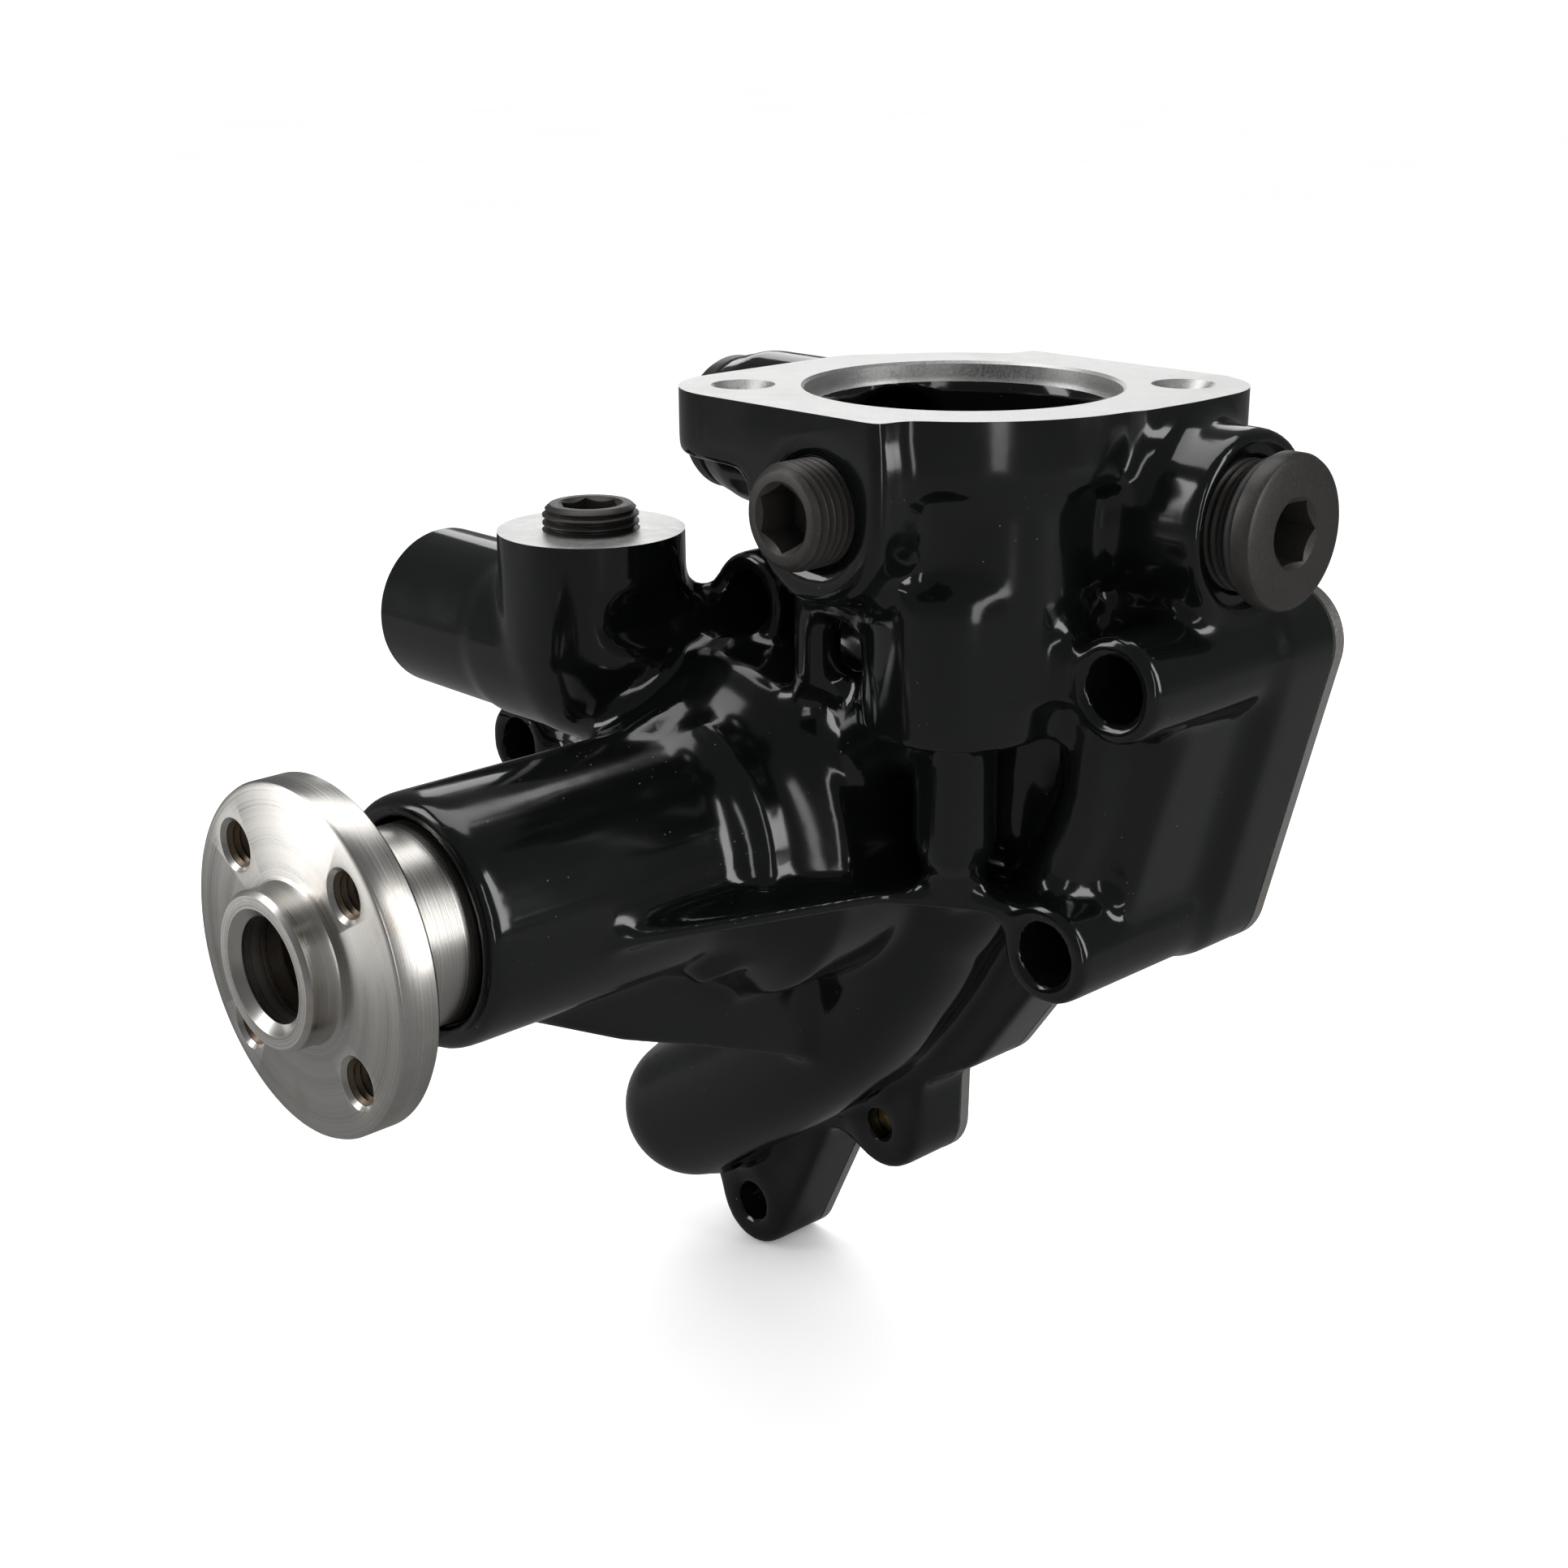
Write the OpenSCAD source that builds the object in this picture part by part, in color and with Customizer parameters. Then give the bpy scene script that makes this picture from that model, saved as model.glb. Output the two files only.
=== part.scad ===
// Engine water pump with thermostat housing, in millimetres.
// Origin: on the shaft axis, in the rear face of the back plate that seats on the engine block.
// +Y points into the engine, -Y towards the pulley hub, +Z up.

/* [Shaft line] */
// Distance from the engine face to the front face of the hub flange
drive_length = 156; // [150:1:175]
// Distance from the engine face to the front face of the bearing nose
nose_length = 133.5; // [130:0.5:150]
// Outer diameter of the bearing nose
nose_od = 44.8; // [43:0.2:52]
// Shaft diameter in the bearing and the hub
shaft_d = 18; // [15:0.5:20]
// Shaft diameter under the seal and the impeller
shaft_tail_d = 16; // [12:0.5:17]
// Setback of the shaft end from the front of the hub flange
shaft_setback = 15; // [8:1:18]

/* [Hub] */
// Outer diameter of the pulley flange
hub_flange_od = 60; // [54:1:80]
// Thickness of the pulley flange
hub_flange_t = 7.3; // [5:0.1:10]
// Diameter of the pulley pilot
hub_pilot_od = 27; // [24:0.5:30]
// Height of the pulley pilot
hub_pilot_h = 6; // [3:0.5:10]
// Diameter of the barrel behind the flange
hub_barrel_od = 35; // [30:0.5:36]
// Bolt circle of the pulley bolts
hub_bolt_pcd = 45; // [42:0.5:60]
// Tapping diameter of the pulley bolt holes
hub_bolt_d = 6.8; // [5:0.1:8]
// Number of pulley bolts
hub_bolt_count = 4; // [3:1:6]

/* [Bearing] */
// Outer diameter of the bearing race
race_od = 36; // [36:0.5:38]
// Length of the bearing race
race_length = 43; // [38:0.5:46]
// Distance from the nose front face to the bearing
race_setback = 10.5; // [9:0.5:14]
// Diameter of the balls
ball_d = 6.35; // [5:0.05:7]
// Number of balls
ball_count = 8; // [6:1:8]
// Diameter of the rollers
roller_d = 5; // [4:0.1:5.5]
// Length of the rollers
roller_length = 12; // [8:0.5:13]
// Number of rollers
roller_count = 11; // [8:1:12]
// Radial running clearance of the balls and rollers
roll_gap = 0.04; // [0.02:0.01:0.08]

/* [Impeller] */
// Outer diameter of the impeller
impeller_od = 66; // [56:1:70]
// Height of the impeller vanes
vane_h = 20; // [12:0.5:22]
// Thickness of an impeller vane
vane_t = 3; // [2:0.25:4]
// Number of impeller vanes
vane_count = 6; // [4:1:8]
// Thickness of the impeller disc
impeller_disc_t = 3; // [2:0.25:5]

/* [Thermostat housing] */
// Height of the thermostat cover face above the shaft
cover_face_z = 83.3; // [80:0.1:95]
// Place of the thermostat axis, right of the shaft
thermostat_x = 34.3; // [30:0.1:38]
// Place of the thermostat axis, ahead of the engine face
thermostat_y = 37; // [36:0.5:42]
// Diameter of the thermostat seat recess
seat_d = 55; // [50:0.5:56]
// Depth of the thermostat seat recess
seat_depth = 3.5; // [2:0.25:5]
// Diameter of the thermostat chamber
chamber_d = 51; // [44:0.5:52]
// Diameter across the round part of the cover flange
cover_flange_d = 76.6; // [74:0.2:84]
// Thickness of the cover flange
cover_flange_t = 11.5; // [8:0.5:14]
// Spacing of the two cover bolts
cover_bolt_spacing = 76; // [74:0.5:78]
// Tapping diameter of the cover bolt holes
cover_bolt_d = 6.8; // [5:0.1:8.5]

/* [Coolant connections] */
// Outer diameter of the hose inlet
inlet_od = 32; // [30:0.5:34]
// Bore of the hose inlet
inlet_id = 25; // [20:0.5:27]
// Distance of the hose end from the shaft
inlet_reach = 76; // [70:1:90]
// Height of the hose inlet above the shaft
inlet_z = 30; // [28:0.5:33]
// Distance of the hose inlet ahead of the engine face
inlet_y = 70.2; // [66:0.5:74]
// Wall thickness of the volute
volute_wall = 3.5; // [3:0.25:5]
// Outer radius of the volute channel
volute_r = 15; // [14:0.25:16]
// Diameter of the discharge and return ports in the back plate
port_d = 24; // [16:0.5:26]

/* [Screw plugs] */
// Thread diameter of the hex-socket plugs
plug_d = 18; // [14:0.5:19]
// Pitch of the plug thread
plug_pitch = 1.5; // [1:0.25:2]
// Width across flats of the plug sockets
socket_af = 10; // [7:0.5:11]
// Length of a plug
plug_length = 16; // [14:0.5:18]
// Thread diameter of the flanged plugs
flanged_plug_d = 22; // [18:0.5:23]
// Head diameter of the flanged plug
plug_head_d = 26; // [22:0.5:26.5]
// Head thickness of the flanged plug
plug_head_t = 4; // [3:0.25:6]

/* [Mounting] */
// Outer diameter of the long mounting bosses
boss_od = 18.6; // [17:0.2:22]
// Through-hole diameter of the long mounting bosses
boss_hole_d = 11.4; // [9:0.2:12]
// Distance of the boss faces ahead of the engine face
boss_face_y = 51; // [45:1:56]
// Thickness of the rear flange of the casting
flange_t = 13; // [10:0.5:16]
// Clear hole of the lower ear
ear_hole_d = 9; // [7:0.2:11]
// Tapping diameter of the screw ear
ear_tap_d = 6.8; // [5:0.1:8.5]

/* [Back plate] */
// Thickness of the back plate
plate_t = 2.5; // [2:0.1:4]
// Thickness of the gasket
gasket_t = 0.6; // [0.4:0.1:1]
// Thread diameter of the back plate screws
screw_d = 6.4; // [4:0.1:6.6]

/* [Hidden] */

CAST = "#17181a";
STEEL = "#b9b7b1";
OXIDE = "#4b4742";
FINE = 96;
ROUND = 64;
EPS = 0.01;

// Fits between pieces.
slide_gap = 0.05;

// Stations along the shaft, as distances in front of the engine face (negative Y).
casting_y = -(plate_t + gasket_t);
flange_front_y = -(plate_t + gasket_t + flange_t);
hub_y = -drive_length;
barrel_end_y = -nose_length + 7.5;
race_y = -nose_length + race_setback;
race_end_y = race_y + race_length;
seal_bore_y = race_end_y + 7;
suction_y = seal_bore_y + 11;
drain_y = race_end_y + 3.5;
drain_angle = 150;
vane_back_y = casting_y - 9 - impeller_disc_t;
vane_front_y = vane_back_y - vane_h;
eye_y = vane_front_y - 1;
shaft_end_y = casting_y - 5;

// Radii of the shaft line.
nose_r = nose_od / 2;
shaft_r = shaft_d / 2;
tail_r = shaft_tail_d / 2;
race_r = race_od / 2;
relief_r = max(race_r + 0.3, hub_barrel_od / 2 + 0.8);
ball_ring_r = shaft_r + ball_d / 2 - 0.95;
roller_ring_r = shaft_r + roller_d / 2 + roll_gap;
land_r = roller_ring_r + roller_d / 2 + roll_gap;
race_bore_r = ball_ring_r + ball_d / 2 - 0.95;
seal_bore_r = 15;
pump_chamber_r = impeller_od / 2 + 3;
eye_r = 19;
suction_r = 28.5;
suction_wall = 4.5;
eye_wall = 8;

// Thermostat chamber and its bosses.
thermo = [thermostat_x, -thermostat_y];
seat_r = seat_d / 2;
chamber_r = chamber_d / 2;
chamber_wall = 4;
chamber_floor_z = 52;
cover_r = cover_flange_d / 2;
pad_reach = cover_r + 1.2;
pad_corner_r = 16;
pad_cut = 18.2;
cover_bolt_at = cover_bolt_spacing / 2 * [cos(45), sin(45)];
column = [49, -53];
column_r = 16.5;
upper_column = [53.5, -48.5];
upper_column_r = 15;
column_z = 28;
column_h = 26;
column_bore_r = 10.5;
bypass = [[column[0], column[1], column_z + 9], [14, suction_y + 12, 12]];
bypass_r = 9.5;
stem_r = 7.4;
stem_z = 8;
strut = [22, -60, 31];
strut_r = 4.2;
strut_h = 30;
boss_r = 16;
front_boss_x = 37;
front_boss_z = 67;
front_boss_l = 30;
front_boss_y = -(thermostat_y + pad_reach) + EPS;
side_boss_y = -23.3;
side_boss_z = 64.3;
side_boss_x = 87;
side_recess = 2;
outlet_x = -31;
outlet_y = -28;
outlet_z = 67.5;
outlet_r = 15;
outlet_step = 5;

// Hose inlet, its boss and the way down into the suction chamber.
inlet_r = inlet_od / 2;
inlet_bore_r = inlet_id / 2;
pipe_end = [-28, -inlet_y, inlet_z];
hose_seat_x = -47;
hose_shoulder = 0.7;
suction_entry = [-12, suction_y + 10, 12];
inlet_boss_x = -28;
inlet_boss_r = 17.6;
inlet_boss_z = inlet_z + 23.5;

// Mounting holes in the plane of the engine face, as [x, z].
bosses = [[-6.9, 39.8], [80, 40.4], [67.4, -9.5], [-80.7, -5.2]];
boss_or = boss_od / 2;
ear_clear = [-44.4, -115];
ear_tapped = [-3.9, -80];
ear_r = 10.5;
rim = 1;

// Volute: the channel's centre runs round the shaft, then out along a widening spiral to the discharge port.
volute_ring_r = 28;
volute_y = flange_front_y - 12;
volute_turn = [[20, -19.5], [12, -33], [2, -47], [-17, -64], [-36, -78], [-50, -88]];
discharge = volute_turn[5];
joint_points = [bosses[1], bosses[2], [34, -20], [12, -48], [-4, -62], ear_tapped, [-24, -75], ear_clear,
    discharge, bosses[3], bosses[0]];
rim_r = boss_or + rim;
joint_radii = [rim_r, rim_r, 12, 14, 11, ear_r, 9, ear_r, 17.6, rim_r, rim_r];
joint_fillet = 3;
return_port = [64, 12];
return_edge_r = 6.4;
return_depth = 38;
return_bore_r = 10;
return_y = -22;
bolt_way = 40;
bolt_clearance = 1.2;

// Screws that hold the back plate on the casting, as [x, z].
plate_screws = [[30, 30], [-38, 20], [-33, -33], [42, -14]];
screw_head_r = 5.5;
screw_reach = 11;

// ---------- helpers ----------

// Turns a solid made along Z so that it runs along +Y from the given station on the shaft axis.
module on_shaft(y = 0) {
    translate([0, y, 0]) rotate([-90, 0, 0]) children();
}

// Extrudes an outline drawn in (x, z) forward from the station y.
module facing_front(y, t) {
    translate([0, y, 0]) rotate([90, 0, 0]) linear_extrude(t) children();
}

// Places something drawn along +Y at an (x, z) point.
module at_xz(p, y = 0) {
    translate([p[0], y, p[1]]) children();
}

// A straight band round two circles, with true tangents.
module band(p, rp, q, rq) {
    gap = q - p;
    u = gap / norm(gap);
    v = [-u[1], u[0]];
    c = (rp - rq) / norm(gap);
    s = sqrt(1 - c * c);
    left = c * u + s * v;
    right = c * u - s * v;
    polygon([p + rp * left, q + rq * left, q + rq * right, p + rp * right]);
    translate(p) circle(rp, $fn = ROUND);
    translate(q) circle(rq, $fn = ROUND);
}

// A round bar between two points in space.
module bar(p, q, r) {
    d = q - p;
    translate(p) rotate([0, acos(d[2] / norm(d)), atan2(d[1], d[0])])
        cylinder(h = norm(d), r = r, $fn = ROUND);
}

// A round solid or bore running along +Y from an (x, z) point at the station y.
module bore_y(p, y, h, r, facets = ROUND) {
    translate([p[0], y, p[1]]) rotate([-90, 0, 0]) cylinder(h = h, r = r, $fn = facets);
}

// A round solid or bore running along +X from a point.
module bore_x(p, h, r) {
    translate(p) rotate([0, 90, 0]) cylinder(h = h, r = r, $fn = ROUND);
}

// A ring turned about the shaft axis from points given as [radius, y].
module turned(points) {
    rotate([-90, 0, 0]) rotate_extrude($fn = FINE) polygon(points);
}

// ---------- casting ----------

// Slab in the shape of the engine joint: round corners joined by straight bands, filled in.
module joint_slab(y, t, extra = 0) {
    last = len(joint_points) - 1;
    facing_front(y, t)
        offset(r = extra - joint_fillet, $fn = 32) offset(r = joint_fillet, $fn = 32) {
            polygon(joint_points);
            for (i = [0:last]) let (j = i == last ? 0 : i + 1)
                band(joint_points[i], joint_radii[i], joint_points[j], joint_radii[j]);
        }
}

module volute(r, y = volute_y) {
    on_shaft(y) rotate_extrude($fn = FINE) translate([volute_ring_r, 0]) circle(r, $fn = ROUND);
    for (i = [0:4]) let (leg_r = r - 0.8 + i * 0.3, from = volute_turn[i], to = volute_turn[i + 1]) {
        bar([from[0], y, from[1]], [to[0], y, to[1]], leg_r);
        translate([to[0], y, to[1]]) sphere(leg_r + 0.6, $fn = ROUND);
    }
}

module cover_flange_outline() {
    circle(cover_r, $fn = FINE);
    for (turn = [0, 180])
        rotate(turn) {
            translate([-pad_reach, -pad_reach + pad_corner_r]) square([pad_reach, pad_reach - pad_corner_r]);
            translate([-pad_reach + pad_corner_r, -pad_reach])
                square([pad_reach - pad_corner_r + pad_cut, pad_reach]);
            translate([-pad_reach + pad_corner_r, -pad_reach + pad_corner_r])
                circle(pad_corner_r, $fn = ROUND);
        }
}

module thermostat_body() {
    translate([thermo[0], thermo[1], cover_face_z - cover_flange_t])
        linear_extrude(cover_flange_t) cover_flange_outline();
    translate([thermo[0], thermo[1], chamber_floor_z - 6])
        cylinder(h = cover_face_z - chamber_floor_z, r = chamber_r + chamber_wall, $fn = FINE);
    translate([column[0], column[1], column_z]) cylinder(h = column_h, r = column_r, $fn = ROUND);
    translate([upper_column[0], upper_column[1], column_z + 8])
        cylinder(h = cover_face_z - column_z - 12, r = upper_column_r, $fn = ROUND);
    translate([column[0], column[1], stem_z]) cylinder(h = column_z - stem_z + 1, r = stem_r, $fn = ROUND);
    translate([column[0], column[1], stem_z]) sphere(stem_r, $fn = ROUND);
    translate(strut) cylinder(h = strut_h, r = strut_r, $fn = ROUND);
    bore_y([front_boss_x, front_boss_z], front_boss_y, front_boss_l, boss_r);
    translate([front_boss_x - boss_r, front_boss_y, front_boss_z]) cube([2 * boss_r, front_boss_l, 10]);
    bore_x([thermo[0], side_boss_y, side_boss_z], side_boss_x - thermo[0], boss_r);
    bore_x([outlet_x + outlet_step, outlet_y, outlet_z], thermo[0] - outlet_x - outlet_step, outlet_r);
    bore_x([outlet_x, outlet_y, outlet_z], outlet_step + 3, outlet_r - 1.2);
}

module inlet_body() {
    bore_x([-inlet_reach, -inlet_y, inlet_z], inlet_reach + pipe_end[0], inlet_r);
    bore_x([hose_seat_x, -inlet_y, inlet_z], pipe_end[0] - hose_seat_x, inlet_r + hose_shoulder);
    translate(pipe_end) sphere(inlet_r + hose_shoulder + 0.3, $fn = ROUND);
    bar(pipe_end, suction_entry, inlet_r - 2);
    translate([inlet_boss_x, -inlet_y, inlet_z])
        cylinder(h = inlet_boss_z - inlet_z, r = inlet_boss_r, $fn = ROUND);
}

module nose_body() {
    back_y = eye_y - 2;
    wall_y = suction_y - suction_wall;
    wall_r = suction_r + suction_wall;
    turned([[0, -nose_length], [nose_r - 2, -nose_length], [nose_r - 0.6, -nose_length + 0.6],
        [nose_r, -nose_length + 2], [nose_r, race_end_y - 2], [nose_r + 2.5, wall_y - 8],
        [wall_r - 3, wall_y], [wall_r, wall_y + 3], [wall_r, back_y], [0, back_y]]);
}

module ribs() {
    // Level webs to the right and left of the nose.
    translate([0, 0, -5]) linear_extrude(3)
        polygon([[18, -114], [25, -106], [41, -62], [60, -50], [66, -44], [66, -20], [-70, -20], [-74, -44],
            [-41, -62], [-25, -106], [-18, -114]]);
    // Upright webs above and below the nose.
    translate([-5, 0, 0]) rotate([90, 0, 90]) linear_extrude(5)
        polygon([[-88, 18], [-74, 24], [-52, 32], [-30, 37], [-30, 0], [-88, 0]]);
    translate([-2.5, 0, 0]) rotate([90, 0, 90]) linear_extrude(5)
        polygon([[-116, -18], [-112, -24], [-90, -35], [-71, -42.5], [-42, -55], [-20, -55], [-20, 0],
            [-116, 0]]);
    // Raised band over the nose root.
    on_shaft(-76) rotate([0, 0, -72]) rotate_extrude(angle = 72, $fn = FINE)
        translate([nose_r - 2, 0]) square([6.5, 7]);
}

module return_body() {
    intersection() {
        facing_front(casting_y - 2, return_depth) {
            band(bosses[1], return_edge_r, bosses[2], return_edge_r);
            polygon([bosses[1], bosses[2] + [-4, -6], [40, -10], [40, 52], bosses[1] + [-4, 8]]);
        }
        translate([0, 0, -30]) linear_extrude(100) {
            translate([40, -24]) square([50, 24]);
            translate([60, -38]) square([14, 20]);
            for (x = [60, 76]) translate([x, -24]) circle(14, $fn = ROUND);
        }
    }
    // Front wall between the nose, the bypass column and the return passage.
    facing_front(casting_y, return_depth)
        polygon([[-22, 0], [-22, 34], [4, 48], [56, 50], [60, -4], [28, -16], [0, -20]]);
}

module mounting_lugs() {
    for (p = bosses)
        bore_y(p, -boss_face_y, boss_face_y + casting_y, boss_or);
    for (p = [ear_clear, ear_tapped])
        bore_y(p, flange_front_y - 1, flange_t + 1, ear_r - 1);
    joint_slab(casting_y, flange_t);
}

module casting_solid() {
    nose_body();
    ribs();
    volute(volute_r);
    bore_y(discharge, volute_y, casting_y - volute_y, volute_r + 2);
    thermostat_body();
    inlet_body();
    return_body();
    mounting_lugs();
    bar(bypass[0], bypass[1], bypass_r);
    translate([0, drain_y, 0]) rotate([0, drain_angle, 0]) cylinder(h = nose_r + 4, r = 5, $fn = ROUND);
}

module coolant_space() {
    // Pump chamber, eye, suction chamber and volute channel.
    on_shaft(eye_y) cylinder(h = casting_y - eye_y + 1, r = pump_chamber_r, $fn = FINE);
    on_shaft(suction_y) cylinder(h = eye_y - suction_y + 1, r = eye_r, $fn = FINE);
    on_shaft(suction_y) cylinder(h = eye_y - eye_wall - suction_y, r = suction_r, $fn = FINE);
    volute(volute_r - volute_wall);
    bore_y(discharge, volute_y, casting_y - volute_y + 1, port_d / 2);
    // Hose inlet.
    bore_x([-inlet_reach - 1, -inlet_y, inlet_z], inlet_reach + pipe_end[0] + 1, inlet_bore_r);
    translate(pipe_end) sphere(inlet_bore_r + 0.3, $fn = ROUND);
    bar(pipe_end, suction_entry, inlet_bore_r - 2);
    // Thermostat chamber, bypass column and return passage.
    translate([thermo[0], thermo[1], chamber_floor_z]) cylinder(h = 60, r = chamber_r, $fn = FINE);
    translate([thermo[0], thermo[1], cover_face_z - seat_depth]) cylinder(h = 10, r = seat_r, $fn = FINE);
    translate([column[0], column[1], column_z + 4]) cylinder(h = 44, r = column_bore_r, $fn = ROUND);
    bar(bypass[0], bypass[1], bypass_r - volute_wall);
    translate([return_port[0], return_y, return_port[1]])
        cylinder(h = side_boss_z - return_port[1], r = return_bore_r, $fn = ROUND);
    bore_y(return_port, return_y, 8 - return_y, port_d / 2);
}

module machined_holes() {
    // Bearing bore, drain space and seal bore.
    on_shaft(-nose_length - 1) cylinder(h = 1 + race_setback - 2, r = relief_r, $fn = FINE);
    on_shaft(-nose_length - 1) cylinder(h = 1 + race_setback + race_length, r = race_r, $fn = FINE);
    on_shaft(race_end_y - 1) cylinder(h = seal_bore_y - race_end_y + 1, r = seal_bore_r + 1, $fn = FINE);
    on_shaft(seal_bore_y - 1) cylinder(h = suction_y - seal_bore_y + 2, r = seal_bore_r, $fn = FINE);
    translate([0, drain_y, 0]) rotate([0, drain_angle, 0]) cylinder(h = nose_r + 10, r = 2.5, $fn = 32);
    // Mounting holes.
    for (p = bosses)
        bore_y(p, -boss_face_y - 1, boss_face_y + 2, boss_hole_d / 2);
    // Way in for the bolt beside the nose, past the inlet boss.
    bore_y(bosses[0], -boss_face_y - bolt_way, bolt_way - 0.5, boss_hole_d / 2 + bolt_clearance);
    bore_y(ear_clear, flange_front_y - 5, flange_t + 10, ear_hole_d / 2);
    bore_y(ear_tapped, flange_front_y - 5, flange_t + 10, ear_tap_d / 2);
    for (p = plate_screws)
        bore_y(p, casting_y - screw_reach, screw_reach + 1, screw_d / 2 + slide_gap, 48);
    // Cover bolts.
    for (side = [-1, 1]) let (p = thermo + side * cover_bolt_at) {
        translate([p[0], p[1], cover_face_z - 18]) cylinder(h = 20, r = cover_bolt_d / 2, $fn = ROUND);
        translate([p[0], p[1], cover_face_z - 1.2]) cylinder(h = 3, r = 5.85, $fn = ROUND);
    }
    // Plug ports.
    bore_y([front_boss_x, front_boss_z], front_boss_y - 1, 24, plug_d / 2 + slide_gap);
    translate([inlet_boss_x, -inlet_y, inlet_z]) cylinder(h = 40, r = plug_d / 2 + slide_gap, $fn = ROUND);
    bore_x([side_boss_x - 32, side_boss_y, side_boss_z], 40, flanged_plug_d / 2 + slide_gap);
    bore_x([side_boss_x - side_recess, side_boss_y, side_boss_z], 20, plug_head_d / 2 + 0.5);
    bore_x([outlet_x - 5, outlet_y, outlet_z], 50, flanged_plug_d / 2 + slide_gap);
}

module pump_housing() {
    color(CAST) difference() {
        casting_solid();
        coolant_space();
        machined_holes();
    }
}

// ---------- back plate ----------

// Everything that passes through the back plate and its gasket.
module joint_bores(extra = 0) {
    on_shaft(-10) {
        for (p = bosses) translate([p[0], -p[1]]) cylinder(h = 20, r = boss_hole_d / 2 + extra, $fn = ROUND);
        for (p = [discharge, return_port])
            translate([p[0], -p[1]]) cylinder(h = 20, r = port_d / 2 + extra, $fn = ROUND);
        for (p = concat(plate_screws, [ear_tapped]))
            translate([p[0], -p[1]]) cylinder(h = 20, r = screw_d / 2 + slide_gap + extra, $fn = 48);
        translate([ear_clear[0], -ear_clear[1]]) cylinder(h = 20, r = ear_hole_d / 2 + extra, $fn = ROUND);
    }
}

module back_plate() {
    color(STEEL) difference() {
        joint_slab(0, plate_t);
        joint_bores();
        for (p = concat(plate_screws, [ear_tapped])) at_xz(p) screw_head(slide_gap);
    }
}

module back_plate_gasket() {
    color("#3b4a46") difference() {
        joint_slab(-plate_t, gasket_t, -0.6);
        joint_bores(0.2);
        on_shaft(-10) cylinder(h = 20, r = pump_chamber_r, $fn = FINE);
    }
}

// Countersunk head, its flat face level with the engine face.
module screw_head(gap = 0) {
    rotate([90, 0, 0])
        cylinder(h = plate_t - 0.3, r1 = screw_head_r + gap, r2 = screw_d / 2 + gap, $fn = 48);
}

module back_plate_screws() {
    color("#b79a52") for (p = concat(plate_screws, [ear_tapped])) at_xz(p) difference() {
        union() {
            screw_head();
            rotate([90, 0, 0]) cylinder(h = screw_reach + plate_t, r = screw_d / 2, $fn = 48);
        }
        translate([0, -1.2, 0]) rotate([-90, 0, 0]) cylinder(h = 2, r = 2.3, $fn = 6);
    }
}

// ---------- shaft line ----------

module hub_flange() {
    flange_back_y = hub_y + hub_flange_t;
    flange_r = hub_flange_od / 2;
    pilot_r = hub_pilot_od / 2;
    barrel_r = hub_barrel_od / 2;
    color(STEEL) difference() {
        turned([[shaft_r, hub_y - hub_pilot_h], [pilot_r - 0.7, hub_y - hub_pilot_h],
            [pilot_r, hub_y - hub_pilot_h + 0.7], [pilot_r, hub_y - 0.7], [pilot_r + 0.7, hub_y],
            [flange_r - 1, hub_y], [flange_r, hub_y + 1], [flange_r, flange_back_y - 0.6],
            [flange_r - 0.6, flange_back_y], [barrel_r, flange_back_y], [barrel_r, barrel_end_y - 0.6],
            [barrel_r - 0.6, barrel_end_y], [shaft_r, barrel_end_y]]);
        on_shaft(hub_y - hub_pilot_h - 0.5) cylinder(h = 1.5, r1 = shaft_r + 1.5, r2 = shaft_r, $fn = ROUND);
        for (i = [0:hub_bolt_count - 1]) rotate([0, 45 + i * 360 / hub_bolt_count, 0])
            translate([hub_bolt_pcd / 2, hub_y, 0]) rotate([-90, 0, 0]) {
                translate([0, 0, -1]) cylinder(h = hub_flange_t + 2, r = hub_bolt_d / 2, $fn = 48);
                translate([0, 0, -0.6])
                    cylinder(h = 1.2, r1 = hub_bolt_d / 2 + 1, r2 = hub_bolt_d / 2 - 0.2, $fn = 48);
            }
    }
}

module pump_shaft() {
    front_y = hub_y + shaft_setback;
    color(STEEL) difference() {
        turned([[0, front_y], [shaft_r - 0.8, front_y], [shaft_r, front_y + 0.8],
            [shaft_r, race_end_y + 0.5],
            [tail_r, race_end_y + 1.5], [tail_r, shaft_end_y - 1], [tail_r - 1, shaft_end_y],
            [0, shaft_end_y]]);
        ball_groove(ball_y);
    }
}

ball_y = race_y + 11;
roller_y = race_end_y - 13;

module ball_groove(y) {
    on_shaft(y) rotate_extrude($fn = FINE)
        translate([ball_ring_r, 0]) circle(ball_d / 2 + roll_gap, $fn = ROUND);
}

module bearing_outer_race() {
    half = roller_length / 2 + 1;
    color("#a9a8a3") difference() {
        turned([[race_bore_r, race_y], [race_r - 0.8, race_y], [race_r, race_y + 0.8],
            [race_r, race_end_y - 0.8],
            [race_r - 0.8, race_end_y], [race_bore_r, race_end_y], [race_bore_r, roller_y + half],
            [land_r, roller_y + half], [land_r, roller_y - half], [race_bore_r, roller_y - half]]);
        ball_groove(ball_y);
    }
}

module bearing_balls() {
    color("#d5d6d8") for (i = [0:ball_count - 1]) rotate([0, i * 360 / ball_count, 0])
        translate([ball_ring_r, ball_y, 0]) sphere(ball_d / 2, $fn = 48);
}

module ball_cage() {
    half = ball_d / 2 + 0.8;
    color("#c9c2ac") difference() {
        turned([[shaft_r + 0.8, ball_y - half], [race_bore_r - 0.6, ball_y - half],
            [race_bore_r - 0.6, ball_y + half],
            [shaft_r + 0.8, ball_y + half]]);
        for (i = [0:ball_count - 1]) rotate([0, i * 360 / ball_count, 0])
            translate([0, ball_y, 0]) rotate([0, 90, 0])
                cylinder(h = race_r, r = ball_d / 2 + 0.1, $fn = 48);
    }
}

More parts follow.
